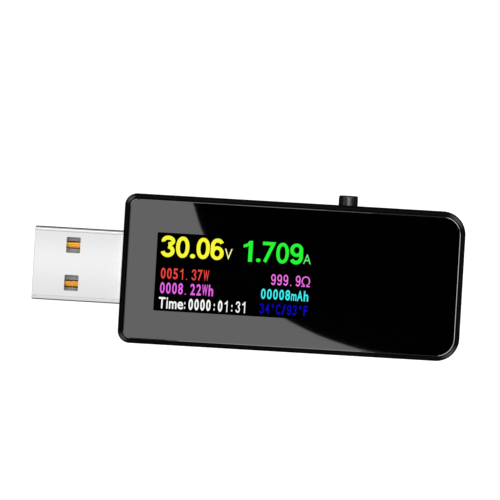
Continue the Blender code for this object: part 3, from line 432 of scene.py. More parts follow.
def rounded_rectangle(low, high, left_radius, right_radius=None, steps=CORNER_STEPS):
    """Counter-clockwise outline whose two ends may have corners of different radius."""
    left, right = left_radius, left_radius if right_radius is None else right_radius
    (x0, y0), (x1, y1) = low, high
    corners = ((x1 - right, y0 + right, right), (x1 - right, y1 - right, right),
               (x0 + left, y1 - left, left), (x0 + left, y0 + left, left))
    outline = []
    for i, (x, y, radius) in enumerate(corners):
        outline += arc((x, y), (radius, radius), 90 * i - 90, 90 * i, steps)
    return outline


def case_ring(inset, z, moved=(0.0, 0.0)):
    """The case's outline, moved inwards by an inset and sideways, at a height."""
    half = (CASE_HALF[0] - inset, CASE_HALF[1] - inset)
    radii = [max(r - inset, 0.3 * MM) for r in (PLUG_END_RADIUS, SOCKET_END_RADIUS)]
    outline = rounded_rectangle((-half[0], -half[1]), half, *radii)
    return [(x + moved[0], y + moved[1], z) for x, y in outline]


def screen_ring(border, z, radius=0.15 * MM):
    """The screen's outline, grown by a border, at a height."""
    low, high = ([c + way * (h + border) for c, h in zip(SCREEN_CENTRE, SCREEN_HALF)] for way in (-1, 1))
    return [(x, y, z) for x, y in rounded_rectangle(low, high, radius)]


def x_ring(outline, x):
    return [(x, y, z) for y, z in outline]


def put(name, data):
    """A new object in the scene."""
    placed = bpy.data.objects.new(name, data)
    bpy.context.scene.collection.objects.link(placed)
    return placed


def sheet(name, points, faces):
    """An object made of points and faces."""
    mesh = bpy.data.meshes.new(name)
    mesh.from_pydata(points, [], faces)
    return put(name, mesh)


def loft(name, rings, closed=False):
    """A skin through rings of equal count. It is capped, or closed back to its first ring."""
    points = [tuple(p) for ring in rings for p in ring]
    count, total = len(rings[0]), len(points)
    faces = []
    for a in range(0, total if closed else total - count, count):
        b = (a + count) % total
        for j in range(count):
            k = (j + 1) % count
            faces.append((a + j, a + k, b + k, b + j))
    if not closed:
        faces += [tuple(range(count))[::-1], tuple(range(total - count, total))]
    made = sheet(name, points, faces)
    shape = bmesh.new()
    shape.from_mesh(made.data)
    bmesh.ops.remove_doubles(shape, verts=shape.verts, dist=1e-8)
    bmesh.ops.recalc_face_normals(shape, faces=shape.faces)
    shape.to_mesh(made.data)
    shape.free()
    return made


def prism(name, outline, low, high):
    """An upright solid between two heights."""
    return loft(name, [[(x, y, z) for x, y in outline] for z in (low, high)])


def block(name, low, high):
    """A box between two corners."""
    (x0, y0, z0), (x1, y1, z1) = low, high
    return prism(name, [(x0, y0), (x1, y0), (x1, y1), (x0, y1)], z0, z1)


def revolve(name, profile, origin, axis="Z", segments=64):
    """A turned solid from a profile of (radius, height) pairs that starts and ends on its axis."""
    turn = [2 * math.pi * i / segments for i in range(segments)]
    rings = []
    for radius, height in profile[1:-1]:
        ring = []
        for a in turn:
            u, v = radius * math.cos(a), radius * math.sin(a)
            ring.append(Vector(origin) + Vector((u, v, height) if axis == "Z" else (u, height, -v)))
        rings.append(ring)
    return loft(name, rings)


def evaluated(obj):
    """The mesh of an object with its modifiers applied."""
    bpy.context.view_layer.update()
    graph = bpy.context.evaluated_depsgraph_get()
    return bpy.data.meshes.new_from_object(obj.evaluated_get(graph))


def modify(obj, kind, **settings):
    """Applies a modifier to an object's mesh."""
    modifier = obj.modifiers.new("step", kind)
    for key, value in settings.items():
        setattr(modifier, key, value)
    mesh = evaluated(obj)
    obj.modifiers.clear()
    obj.data = mesh


def combine(obj, tools, operation):
    for tool in tools:
        modify(obj, "BOOLEAN", operation=operation, solver="EXACT", object=tool)
        bpy.data.objects.remove(tool)
    return obj


def round_edges(obj, width, segments=3, angle=40.0):
    """Rounds the sharp edges that are left after cutting."""
    limit = math.radians(angle)
    modify(obj, "BEVEL", width=width, segments=segments, limit_method="ANGLE", angle_limit=limit)


def smooth(obj, angle=30.0):
    """Round faces shade smooth, sharper edges stay crisp, and flat faces keep their own normals."""
    obj.data.shade_smooth()
    obj.data.set_sharp_from_angle(angle=math.radians(angle))
    modify(obj, "WEIGHTED_NORMAL", keep_sharp=True, weight=100)


def keep(obj, name, looks, body="meter", replaces=()):
    """Names a finished piece, gives it its materials, and ties it to the frame."""
    obj.name = name
    obj.data.name = name
    kinds = [p.material_index for p in obj.data.polygons]
    obj.data.materials.clear()
    for look in looks:
        obj.data.materials.append(look)
    obj.data.polygons.foreach_set("material_index", [min(k, len(looks) - 1) for k in kinds])
    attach(obj, body)
    if replaces:
        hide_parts(*replaces)


def ribbon(name, path, section, y, rounds=3):
    """A strip bent along (x, z) points: a section of (across, up) points is carried along them.

    The path's inner corners are rounded by cutting them, a few times over.
    """
    for _ in range(rounds):
        cut = [Vector(p).lerp(Vector(q), share) for p, q in zip(path, path[1:]) for share in (0.25, 0.75)]
        path = [path[0]] + cut + [path[-1]]
    path = [Vector(p) for p in path]
    rings = []
    for i, (x, z) in enumerate(path):
        along = (path[min(i + 1, len(path) - 1)] - path[max(i - 1, 0)]).normalized()
        rings.append([(x - up * along[1], y + across, z + up * along[0]) for across, up in section])
    return loft(name, rings)


def flat_section(width, thickness, radius):
    """Cross-section of a strip with rounded edges."""
    half = (width / 2, thickness / 2)
    return rounded_rectangle((-half[0], -half[1]), half, radius, steps=3)


# ---- Case ---------------------------------------------------------------------------------------


def slot_tool(name, width, bottom, radius, x_out):
    """Cutter for a connector's opening in an end wall, flared where it meets the outside."""
    flare = 0.12 * MM
    sign = 1 if x_out < 0 else -1
    stations = [(x_out - sign * MM, flare)]
    stations += [(x_out + sign * back, grow) for back, grow in quarter(flare, 5)]
    stations.append((x_out + sign * CUT_DEPTH, 0.0))
    rings = []
    for x, grow in stations:
        wide = OPENING_GAP + grow
        low, high = (-width / 2 - wide, bottom - wide), (width / 2 + wide, CONNECTOR_TOP + wide)
        rings.append(x_ring(rounded_rectangle(low, high, radius + grow, steps=8), x))
    return loft(name, rings)


def opening_tools():
    """Cutters for what the two shells open together: plug slot, socket mouth and button hole."""
    plug = slot_tool("plug_opening", PLUG_WIDTH, PLUG_BOTTOM, 0.8 * MM, -CASE_HALF[0])
    socket = slot_tool("socket_opening", SOCKET_WIDTH, SOCKET_BOTTOM, 0.9 * MM, CASE_HALF[0])
    radius, high, flare = BUTTON_RADIUS + OPENING_GAP, CASE_HALF[1], 0.14 * MM
    low = high - CUT_DEPTH
    profile = [(0.0, low), (radius, low), (radius, high - flare)]
    profile += [(radius + out, high - down) for out, down in quarter(flare, 5)[1:]]
    profile += [(radius + flare, high + MM), (0.0, high + MM)]
    return [plug, socket, revolve("button_opening", profile, BUTTON_AXIS, "Y")]


def finish_shell(name, node, shell, post, extras=()):
    """Adds a shell's posts and other parts, cuts its openings, and keeps it."""
    posts = [revolve("post", post, (x, y, 0.0), segments=32) for x, y in POSTS]
    combine(shell, posts + list(extras), "UNION")
    combine(shell, opening_tools(), "DIFFERENCE")
    smooth(shell)
    keep(shell, name, [CASE], replaces=[node])


def make_case_front():
    """The bezel: a round-edged frame with a pocket for the lens and a deck round the display."""
    seam_step, lip = 0.04 * MM, 0.08 * MM
    outer = [(SEAM_ROUND, SEAM_Z), (seam_step, SEAM_Z + seam_step), (0.0, SEAM_Z + SEAM_ROUND)]
    outer += [(inset, CASE_TOP - down) for inset, down in quarter(0.5 * MM, 8)]
    pocket = [(RIM_WIDTH - out, CASE_TOP - down) for down, out in quarter(lip, 3)] + [(RIM_WIDTH, DECK_TOP)]
    tongue, tongue_low = WALL - TONGUE_WIDTH, SEAM_Z - TONGUE_DEPTH + GAP
    inner = [(WALL, DECK_BOTTOM), (WALL, tongue_low), (tongue, tongue_low), (tongue, SEAM_Z)]
    rings = [case_ring(*pair) for pair in outer] + [case_ring(*pair, LENS_SHIFT) for pair in pocket]
    rings += [screen_ring(DECK_BORDER, z, DECK_BORDER) for z in (DECK_TOP, DECK_BOTTOM)]
    rings += [case_ring(*pair) for pair in inner]
    low, high, socket_depth, bore = BOARD_HIGH.z + GAP, DECK_TOP - 0.3 * MM, 0.6 * MM, 0.57 * MM
    post = [(0.0, low + socket_depth), (bore, low + socket_depth), (bore, low), (POST_RADIUS - GAP, low),
            (POST_RADIUS, low + GAP), (POST_RADIUS, high), (0.0, high)]
    finish_shell("case_front", "front_shell", loft("case_front_skin", rings, closed=True), post)


def make_case_back():
    """The back cover: a tray with pins for the posts and rests for the two connectors."""
    seam_step, floor = 0.04 * MM, WALL / 2
    rabbet = WALL - TONGUE_WIDTH - GAP
    pairs = quarter(0.9 * MM, 8)[::-1]
    pairs += [(0.0, SEAM_Z - SEAM_ROUND), (seam_step, SEAM_Z - seam_step), (SEAM_ROUND, SEAM_Z),
              (rabbet, SEAM_Z), (rabbet, SEAM_Z - TONGUE_DEPTH), (WALL, SEAM_Z - TONGUE_DEPTH), (WALL, WALL)]
    shoulder, pin, pin_radius, bevel = BOARD_LOW.z - GAP, BOARD_HIGH.z + 0.5 * MM, 0.45 * MM, 0.08 * MM
    post = [(0.0, pin), (pin_radius - bevel, pin), (pin_radius, pin - bevel), (pin_radius, shoulder),
            (POST_RADIUS, shoulder), (POST_RADIUS, floor), (0.0, floor)]
    rests = []
    for x, long, half, top in ((-26.0, 1.4, 4, PLUG_BOTTOM), (16.0, 1.0, 5, SOCKET_BOTTOM),
                               (24.0, 1.0, 5, SOCKET_BOTTOM)):
        rests.append(block("rest", (x * MM, -half * MM, floor), ((x + long) * MM, half * MM, top - GAP)))
    shell = loft("case_back_skin", [case_ring(*pair) for pair in pairs])
    finish_shell("case_back", "rear_shell", shell, post, rests)


def make_lens():
    """Front sheet: black-printed border and clear window, with a glossy round edge whose chosen sides carry
    painted highlights.
    """
    inset = RIM_WIDTH + 0.02 * MM
    edge = 0.25 * MM
    top, bottom = LENS_HIGH.z, LENS_LOW.z

    def split(ring):
        """Two more points on the front side, where the look of the edge changes."""
        last, first = Vector(ring[-1]), Vector(ring[0])
        return ring + [last.lerp(first, share) for share in (0.12, 0.80)]

    rings = [screen_ring(0.0, bottom), case_ring(inset, bottom, LENS_SHIFT)]
    rings += [case_ring(inset + more, top - down, LENS_SHIFT) for more, down in quarter(edge, 6)]
    rings += [case_ring(inset + edge + 0.02 * MM, top, LENS_SHIFT), screen_ring(0.0, top)]
    lens = loft("lens_skin", [split(ring) for ring in rings])
    window, highlight_edge = 1, 2
    for polygon in lens.data.polygons:
        x, y = polygon.center.x / MM, polygon.center.y / MM
        # Painted highlights: the right side, the middle of the bottom and the left corners of the round edge
        # take the more reflective edge look.
        bright = x > 24.5 or (y < -11 and -19 < x < 14) or (x < -25.6 and abs(y) > 9.6)
        if len(polygon.vertices) > 4:
            polygon.material_index = window
        elif bright and 0.05 < polygon.normal.z < 0.9999:
            polygon.material_index = highlight_edge
    smooth(lens)
    keep(lens, "lens_panel", LENS_LOOKS, replaces=["front_lens"])


# ---- Readout ------------------------------------------------------------------------------------

LIT = {
    "yellow": (1.0, 1.0, 0.04),
    "pale_yellow": (1.0, 1.0, 0.32),
    "green": (0.02, 0.93, 0.035),
    "pale_green": (0.16, 0.86, 0.18),
    "red": (0.80, 0.06, 0.05),
    "magenta": (0.82, 0.13, 0.82),
    "pink": (0.88, 0.17, 0.78),
    "cyan": (0.05, 0.86, 0.88),
    "white": (1.0, 1.0, 1.0),
    "blue": (0.004, 0.003, 0.46),
}
LIT_HEIGHT = 0.012 * MM
LIT_LEVEL = POLARISER_HIGH.z - LIT_HEIGHT

# Characters placed one by one: colour, weight, bottom and top, then each with its left and right, in mm.
PLACED = (
    ("yellow", 0.020, 2.11, 5.64,
     ("3", -21.64, -19.38), ("0", -19.20, -17.0), ("0", -15.84, -13.64), ("6", -13.52, -11.36)),
    ("yellow", 0.0, 2.14, 2.86, (".", -16.84, -15.98)),
    ("pale_yellow", 0.0, 2.30, 4.06, ("V", -11.18, -9.94)),
    ("green", 0.014, 2.14, 5.58,
     ("1", -8.18, -6.66), ("7", -5.04, -2.86), ("0", -2.78, -0.70), ("9", -0.54, 1.62)),
    ("green", 0.0, 2.16, 2.80, (".", -6.02, -5.28)),
    ("pale_green", 0.0, 2.32, 3.90, ("A", 1.70, 2.96)),
    ("pink", 0.0, -1.43, 0.30, ("Ω", 1.62, 3.02)),
    ("white", 0.020, -6.3, -4.45, ("T", -21.50, -20.42), ("i", -20.24, -20.00)),
    ("white", 0.020, -6.3, -5.04, ("m", -19.80, -18.56)),
    ("white", 0.020, -6.3, -5.02, ("e", -18.42, -17.48)),
)
# Lines of small characters: text, left, right, top and bottom in mm, colour and weight.
LINES = (
    ("0051.37W", -21.5, -13.45, 0.36, -1.43, "red", 0.020),
    ("999.9", -3.45, 1.60, 0.36, -1.43, "pink", 0.022),
    ("0008.22Wh", -21.5, -12.55, -2.0, -3.86, "magenta", 0.022),
    ("00008mAh", -4.96, 3.04, -2.1, -3.8, "cyan", 0.022),
    (":0000:01:31", -17.66, -7.05, -4.45, -6.3, "white", 0.034),
    ("34°C/93°F", -5.05, 3.04, -4.5, -6.2, "blue", 0.026),
)
# Width of a character within its cell of a fixed-pitch line, and its height over a capital's.
CELL = {".": (0.20, 0.12), ":": (0.20, 0.62), "m": (0.90, 0.66), "W": (0.92, 1.0), "A": (0.92, 1.0),
        "1": (0.50, 1.0)}


def pen(path, width):
    """A flat pen stroke, one unit thick, along an open path."""
    left, right = [], []
    for i, (x, y) in enumerate(path):
        ahead = Vector(path[min(i + 1, len(path) - 1)])
        behind = Vector(path[max(i - 1, 0)])
        along = (ahead - behind).normalized() * width / 2
        left.append((x - along[1], y + along[0]))
        right.append((x + along[1], y - along[0]))
    return prism("stroke", left + right[::-1], 0.0, 1.0)


def figure(character, width):
    """The figures 1, 3, 6 and 9 as a display draws them: one unit high, one unit thick."""
    half = width / 2
    if character == "1":
        stem = 0.42
        outline = [(stem - width, 0.0), (stem, 0.0), (stem, 1.0), (stem - 0.85 * width, 1.0), (0.16, 0.86),
                   (0.0, 0.80), (0.0, 0.66), (0.14, 0.70), (stem - width, 0.75)]
        made = prism("figure", outline, 0.0, 1.0)
    elif character == "3":
        upper = pen(arc((0.30, 0.755), (0.25 - 0.2 * half, 0.245 - half), 195, -88, 20), width)
        lower = pen(arc((0.29, 0.295), (0.33 - half, 0.295 - half), 88, -172, 20), width)
        made = combine(upper, [lower], "UNION")
    else:
        size = 0.32
        arm = [(half, 0.31), (half, 0.50), (half + 0.004, 0.62)]
        arm += arc((0.33, 0.66), (0.326 - half, 0.34 - half), 178, 28, 20)
        outer, inner = (arc((size, size), radii, 0, 360, 40)[:-1] for radii in
                        ((size, size), (size - width, size - 0.86 * width)))
        rings = [[(x, y, z) for x, y in outline] for outline, z in
                 ((outer, 0.0), (outer, 1.0), (inner, 1.0), (inner, 0.0))]
        made = combine(loft("figure", rings, closed=True), [pen(arm, width)], "UNION")
    mesh = made.data
    bpy.data.objects.remove(made)
    if character == "9":
        for vertex in mesh.vertices:
            vertex.co.x, vertex.co.y = -vertex.co.x, -vertex.co.y
    return mesh


def letter(character, weight):
    """A character of the built-in font, one unit thick."""
    curve = bpy.data.curves.new("glyph", "FONT")
    curve.body = character
    curve.offset = weight
    curve.resolution_u = 5
    drawn = put("glyph", curve)
    mesh = evaluated(drawn)
    bpy.data.objects.remove(drawn)
    outline = bmesh.new()
    outline.from_mesh(mesh)
    bmesh.ops.remove_doubles(outline, verts=outline.verts, dist=1e-6)
    bmesh.ops.recalc_face_normals(outline, faces=outline.faces)
    raised = bmesh.ops.extrude_face_region(outline, geom=list(outline.faces))
    lifted = [g for g in raised["geom"] if isinstance(g, bmesh.types.BMVert)]
    bmesh.ops.translate(outline, verts=lifted, vec=(0, 0, 1))
    bmesh.ops.recalc_face_normals(outline, faces=outline.faces)
    outline.to_mesh(mesh)
    outline.free()
    return mesh


def stamp(shape, character, box, colour, weight):
    """Adds a character to the readout, fitted to a box of (left, right, bottom, top) in millimetres."""
    left, right, bottom, top = (side * MM for side in box)
    if character in "1369":
        mesh = figure(character, 0.185 if top - bottom > 3 * MM else 0.15)
    else:
        mesh = letter(character, weight)
    across = [v.co.x for v in mesh.vertices]
    up = [v.co.y for v in mesh.vertices]
    x0, x1, y0, y1 = min(across), max(across), min(up), max(up)
    for vertex in mesh.vertices:
        x, y, lift = vertex.co
        vertex.co = (left + (x - x0) / (x1 - x0) * (right - left),
                     bottom + (y - y0) / (y1 - y0) * (top - bottom), LIT_LEVEL + LIT_HEIGHT * lift)
    kind = 1 + list(LIT).index(colour)
    mesh.polygons.foreach_set("material_index", [kind] * len(mesh.polygons))
    shape.from_mesh(mesh)
    bpy.data.meshes.remove(mesh)


def line(shape, text, left, right, top, bottom, colour, weight):
    """A line of small characters of one pitch between two ends."""
    pitch = (right - left) / len(text)
    height = top - bottom
    for i, character in enumerate(text):
        share, rise = CELL.get(character, (0.76, 1.0))
        middle = left + (i + (0.30 if character == "." else 0.46)) * pitch
        low = bottom + (0.06 * height if character == ":" else 0.0)
        box = (middle - share * pitch / 2, middle + share * pitch / 2, low, low + rise * height)
        if character == "°":
            box = (middle - 0.2 * pitch, middle + 0.2 * pitch, low + 0.6 * height, low + height)
        stamp(shape, character, box, colour, weight)


def make_readout():
    """The polariser and the picture it shows: two large values and lines of small ones."""
    low, high = POLARISER_LOW, POLARISER_HIGH
    edge = 0.02 * MM
    rings = []
    for level, inset in ((low.z, 0.0), (LIT_LEVEL - edge, 0.0), (LIT_LEVEL, edge)):
        corners = (low.x + inset, low.y + inset), (high.x - inset, high.y - inset)
        rings.append([(x, y, level) for x, y in rounded_rectangle(*corners, 0.2 * MM, steps=6)])
    film = loft("display_face", rings)
    shape = bmesh.new()
    shape.from_mesh(film.data)
    for colour, weight, bottom, top, *characters in PLACED:
        for character, left, right in characters:
            stamp(shape, character, (left, right, bottom, top), colour, weight)
    for entry in LINES:
        line(shape, *entry)
    shape.to_mesh(film.data)
    shape.free()
    smooth(film)
    looks = [film_look()] + [lit_look(name, colour) for name, colour in LIT.items()]
    keep(film, "display_face", looks, replaces=["front_polariser"])


# ---- Plug ---------------------------------------------------------------------------------------


def tube(name, width, bottom, radius, x_mouth, x_rear, lead_in):
    """A folded sheet-steel tube whose mouth is drawn in and rounded over."""
    sign = 1 if x_rear > x_mouth else -1
    edge, draw = 0.05 * MM, 0.75 * MM
    stations = [(x_rear, 0.0)]
    stations += [(x_mouth + sign * (edge + (1 - i / 4) * draw), lead_in * (i / 4) ** 2) for i in range(5)]
    lip = quarter(edge, 3)
    outside = stations + [(x_mouth + sign * back, lead_in + across) for across, back in lip[1:]]
    inside = [(x_mouth + sign * back, lead_in + STEEL - across) for across, back in lip[::-1]]
    inside += [(x, inset + STEEL) for x, inset in stations[-2::-1]]
    rings = []
    for x, inset in outside + inside:
        low, high = (-width / 2 + inset, bottom + inset), (width / 2 - inset, CONNECTOR_TOP - inset)
        rings.append(x_ring(rounded_rectangle(low, high, max(radius - inset, 0.12 * MM), steps=8), x))
    return loft(name, rings, closed=True)


def legs(width, places):
    """A steel shell's legs on both sides, between (x, x) places, down through the board."""
    made = []
    low, half = BOARD_LOW.z - 1.4 * MM, STEEL / 2 - 0.02 * MM
    for y in (-(width - STEEL) / 2, (width - STEEL) / 2):
        made += [block("leg", (x0, y - half, low), (x1, y + half, TAIL_TOP)) for x0, x1 in places]
    return made


def window_tool(name, centre, size, low, high, radius=0.16 * MM):
    near, far = ([c + way * s / 2 for c, s in zip(centre, size)] for way in (-1, 1))
    return prism(name, rounded_rectangle(near, far, radius, steps=4), low, high)


def fold_tools(path, bottom):
    """Narrow cutters along the dovetailed fold in a shell's underside, one for each stretch of the path."""
    tools = []
    for a, b in zip(path, path[1:]):
        a, b = Vector(a) * MM, Vector(b) * MM
        along = (b - a).normalized() * FOLD_WIDTH / 2
        side = Vector((-along[1], along[0]))
        outline = [a - along - side, b + along - side, b + along + side, a - along + side]
        tools.append(prism("fold", outline, bottom - MM, bottom + 0.12 * MM))
    return tools


def crease_tools():
    """Fine V-shaped marks beside the plug's bends, where the sheet was folded."""
    tools = []
    wide, deep = 0.08 * MM, 0.03 * MM
    for y in (-5.33 * MM, 5.33 * MM):
        for z, out in ((CONNECTOR_TOP, deep), (PLUG_BOTTOM, -deep)):
            outline = [(y - wide, z + out), (y + wide, z + out), (y, z - out)]
            tools.append(loft("crease", [x_ring(outline, x) for x in (-43 * MM, -27.5 * MM)]))
    return tools


def make_plug_sleeve():
    """The plug's folded shell, with two latch windows in each broad face and the fold underneath."""
    tip = PLUG_LOW.x
    shell = tube("plug_skin", PLUG_SLEEVE_WIDTH, PLUG_BOTTOM, 0.5 * MM, tip, PLUG_HIGH.x, 0.03 * MM)
    combine(shell, legs(PLUG_WIDTH, [(-25.8 * MM, -24.6 * MM)]), "UNION")
    tools = []
    for low, high in ((CONNECTOR_TOP - 2 * STEEL, CONNECTOR_TOP + MM),
                      (PLUG_BOTTOM - MM, PLUG_BOTTOM + 2 * STEEL)):
        for y in (-3.05 * MM, 3.17 * MM):
            tools.append(window_tool("window", (tip + 6.4 * MM, y), (2.3 * MM, 2.6 * MM), low, high))
    seam = [(-43, 0), (-36.4, 0), (-36.9, 1.1), (-33.9, 1.1), (-34.4, 0), (-24, 0)]
    combine(shell, tools + fold_tools(seam, PLUG_BOTTOM), "DIFFERENCE")
    round_edges(shell, 0.03 * MM, 2, 50)
    combine(shell, crease_tools(), "DIFFERENCE")
    smooth(shell)
    keep(shell, "plug_sleeve", [STEEL_PLATED], replaces=["plug_shell"])


def blade_section():
    """A coined blade's section: its face is crowned and falls away to thin rounded edges."""
    crown, half, thick = 1.9 * MM, 0.61 * MM, 0.125 * MM
    rolled = (0.46 * MM, -0.53 * MM)
    section = [(-half, -thick), (half, -thick)]
    for across in (0.61, 0.56, 0.51, 0.47, 0.45, 0.32, 0.18, 0.0,
                   -0.18, -0.32, -0.45, -0.52, -0.54, -0.58, -0.61):
        across *= MM
        fall = 0.8 * (max(across - rolled[0], 0.0) + max(rolled[1] - across, 0.0))
        section.append((across, thick - crown + math.sqrt(crown ** 2 - across ** 2) - fall))
    return section


def make_plug_inside():
    """The insulator with its four grooves, and the contact blades that lie in them."""
    tip, rear = PLUG_LOW.x, PLUG_HIGH.x
    inside = PLUG_WIDTH / 2 - STEEL - GAP
    low = PLUG_BOTTOM + STEEL + GAP
    face = PLUG_BOTTOM + STEEL + 1.95 * MM
    front, back = tip + 0.4 * MM, rear + 0.2 * MM
    core = block("core", (front, -inside, low), (back, inside, face))
    heel_low, heel_high = face - 0.2 * MM, CONNECTOR_TOP - STEEL - GAP
    combine(core, [block("heel", (tip + 12.0 * MM, -inside, heel_low), (back, inside, heel_high))], "UNION")
    round_edges(core, 0.2 * MM)
    level = face - 0.085 * MM
    half, deep = 0.66 * MM, 0.175 * MM
    blades = [("vbus", 3.2 * MM, front + 0.7 * MM), ("data_minus", 1.0 * MM, front + 1.7 * MM),
              ("data_plus", -1.0 * MM, front + 1.7 * MM), ("ground", -3.2 * MM, front + 0.7 * MM)]
    grooves = []
    for _, y, start in blades:
        near, far = (start - 0.1 * MM, y - half, level - deep), (back + MM, y + half, level + deep)
        grooves.append(block("groove", near, far))
    combine(core, grooves, "DIFFERENCE")
    smooth(core)
    keep(core, "plug_core", [INSULATOR], replaces=["plug_insulator"])
    for name, y, start in blades:
        tail = rear + 0.75 * MM
        path = [(start, level - 0.09 * MM), (start + 0.25 * MM, level), (tail - 0.5 * MM, level),
                (tail, level), (tail, level + 0.5 * MM), (tail, TAIL_TOP)]
        blade = ribbon("blade", path, blade_section(), y, 2)
        smooth(blade, 40)
        keep(blade, "plug_blade_" + name, [GOLD], replaces=["plug_contact_" + name])


# ---- Socket -------------------------------------------------------------------------------------


def make_socket_sleeve():
    """The socket's shell: two spring fingers are cut from its underside and one from each side."""
    mouth = SOCKET_HIGH.x
    shell = tube("socket_skin", SOCKET_WIDTH, SOCKET_BOTTOM, 0.7 * MM, mouth, SOCKET_LOW.x, 0.0)
    middle = (CONNECTOR_TOP + SOCKET_BOTTOM) / 2
    combine(shell, legs(SOCKET_WIDTH, [(16.0 * MM, 17.2 * MM), (22.8 * MM, 24.0 * MM)]), "UNION")
    tip = mouth - 3.0 * MM
    root, width, room = tip - 4.6 * MM, 1.8 * MM, 0.3 * MM
    section = flat_section(width, STEEL - 0.06 * MM, 0.08 * MM)

    def finger(level, way, y):
        """A finger of the sheet at a level, whose tip is bent inwards."""
        bends = ((2.2, 0.2), (1.3, 0.34), (0.5, 0.2), (0.0, 0.02))
        path = [(root - 0.5 * MM, level), (root, level)]
        path += [(tip - back * MM, level + way * rise * MM) for back, rise in bends]
        return ribbon("finger", path, section, y)

    slots, fingers = [], []
    for side in (-1, 1):
        y = side * 3.0 * MM
        slots.append(window_tool("slot", ((root + tip + room) / 2, y), (tip - root + room, width + 2 * room),
                                 SOCKET_BOTTOM - MM, SOCKET_BOTTOM + 2 * STEEL, 0.25 * MM))
        fingers.append(finger(SOCKET_BOTTOM + STEEL / 2, 1, y))
        wall = side * (SOCKET_WIDTH - STEEL) / 2
        slots.append(block("slot", (root, wall - 2 * STEEL, middle - width / 2 - room),
                           (tip + room, wall + 2 * STEEL, middle + width / 2 + room)))
        upright = finger(wall, -side, 0.0)
        for vertex in upright.data.vertices:
            x, y, z = vertex.co
            vertex.co = (x, z, middle + y)
        fingers.append(upright)
    seam = [(12, 0), (19.6, 0), (19.1, 1.2), (22.1, 1.2), (21.6, 0), (29, 0)]
    combine(shell, slots + fold_tools(seam, SOCKET_BOTTOM), "DIFFERENCE")
    combine(shell, fingers, "UNION")
    smooth(shell)
    keep(shell, "socket_sleeve", [STEEL_SOCKET], replaces=["socket_shell"])


def make_socket_inside():
    """The insulator with its tongue, and the four springs that are bowed out under the tongue."""
    rear = SOCKET_LOW.x
    tongue_low = SOCKET_BOTTOM + STEEL + 2.56 * MM
    tongue_high = tongue_low + 1.84 * MM
    inside = SOCKET_WIDTH / 2 - STEEL - GAP
    low, high = SOCKET_BOTTOM + STEEL + GAP, CONNECTOR_TOP - STEEL - GAP
    back, front, end = rear + 0.2 * MM, 17.5 * MM, SOCKET_HIGH.x - 1.3 * MM
    core = block("core", (back, -inside, low), (front, inside, high))
    round_edges(core, 0.35 * MM)
    tongue = block("tongue", (front - MM, -5.55 * MM, tongue_low), (end, 5.55 * MM, tongue_high))
    round_edges(tongue, 0.18 * MM)
    combine(core, [tongue], "UNION")
    rest = tongue_low + 0.62 * MM
    bow = tongue_low - 0.5 * MM
    half = 0.62 * MM
    springs = [("vbus", 3.5 * MM), ("data_minus", 1.0 * MM), ("data_plus", -1.0 * MM), ("ground", -3.5 * MM)]
    tunnels = []
    for _, y in springs:
        tunnels.append(block("tunnel", (back - MM, y - half, tongue_low + 0.3 * MM),
                             (front + MM, y + half, rest + 0.2 * MM)))
        tunnels.append(block("groove", (front - 0.01 * MM, y - half, tongue_low - MM),
                             (end - 0.5 * MM, y + half, rest + 0.21 * MM)))
    combine(core, tunnels, "DIFFERENCE")
    smooth(core)
    keep(core, "socket_core", [INSULATOR], replaces=["socket_insulator"])
    tail = rear - 0.6 * MM
    path = [(tail, TAIL_TOP), (tail, rest + 0.4 * MM), (tail, rest), (tail + 0.4 * MM, rest),
            (front + 1.2 * MM, rest), (end - 3.4 * MM, bow + 0.22 * MM), (end - 2.6 * MM, bow - 0.06 * MM),
            (end - 1.9 * MM, bow + 0.22 * MM), (end - 1.0 * MM, rest - 0.1 * MM)]
    for name, y in springs:
        spring = ribbon("spring", path, flat_section(1.0 * MM, 0.2 * MM, 0.07 * MM), y)
        smooth(spring, 40)
        keep(spring, "socket_spring_" + name, [GOLD], replaces=["socket_contact_" + name])


# ---- Button -------------------------------------------------------------------------------------


def make_button():
    """The plunger as it is seen: a round button with a soft edge and a faint dish in its end."""
    end, nub, radius = BUTTON_HIGH.y, BUTTON_LOW.y, BUTTON_RADIUS
    edge, fillet, dish, bevel, support = 0.3 * MM, 0.06 * MM, 0.05 * MM, 0.08 * MM, 0.06 * MM
    front, back, flange, stem = 10.4 * MM, 9.6 * MM, 1.85 * MM, 0.8 * MM
    profile = [(0.0, end - dish)]
    for share in (0.01, 0.15, 0.3, 0.45, 0.55):
        profile.append((radius * share, end - dish * (1 - (share / 0.62) ** 2)))
    profile += [(radius * 0.64, end)]
    profile += [(radius - inwards, end - down) for down, inwards in quarter(edge, 8)]
    profile += [(radius, end - edge - support), (radius, front + fillet + support), (radius, front + fillet),
                (radius + fillet, front), (flange - fillet, front), (flange, front - fillet),
                (flange, back + fillet), (flange - fillet, back), (stem, back), (stem, nub + bevel),
                (stem - bevel, nub), (0.0, nub)]
    button = revolve("button_skin", profile, BUTTON_AXIS, "Y", 96)
    smooth(button, 35)
    keep(button, "push_key", [BUTTON], body="push_button", replaces=["button"])


def make_snap_dome():
    """The switch's sprung disc: flat rim, domed middle and small dimple, built as it stands before the button
    presses it flat.
    """
    low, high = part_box("snap_dome")
    radius, rise, thick = (high.x - low.x) / 2, 0.5 * MM, 0.08 * MM
    curve = ((0.01, 0.94), (0.08, 0.942), (0.15, 0.965), (0.22, 0.955), (0.32, 0.90), (0.45, 0.80),
             (0.58, 0.66), (0.70, 0.50), (0.80, 0.33), (0.87, 0.17), (0.91, 0.07), (0.94, 0.02), (0.97, 0.0))
    upper = [(radius * across, thick + rise * up) for across, up in curve]
    edge = [(radius, 0.8 * thick), (radius, 0.2 * thick)]
    lower = [(radius * across, rise * up) for across, up in reversed(curve)]
    profile = [(0.0, upper[0][1])] + upper + edge + lower + [(0.0, lower[-1][1])]
    centre = ((low.x + high.x) / 2, low.y, (low.z + high.z) / 2)
    dome = revolve("dome_skin", profile, centre, "Y", 48)
    smooth(dome, 40)
    keep(dome, "sprung_dome", [STEEL_SPRING], replaces=["snap_dome"])
    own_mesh(dome)


# ---- Stage --------------------------------------------------------------------------------------

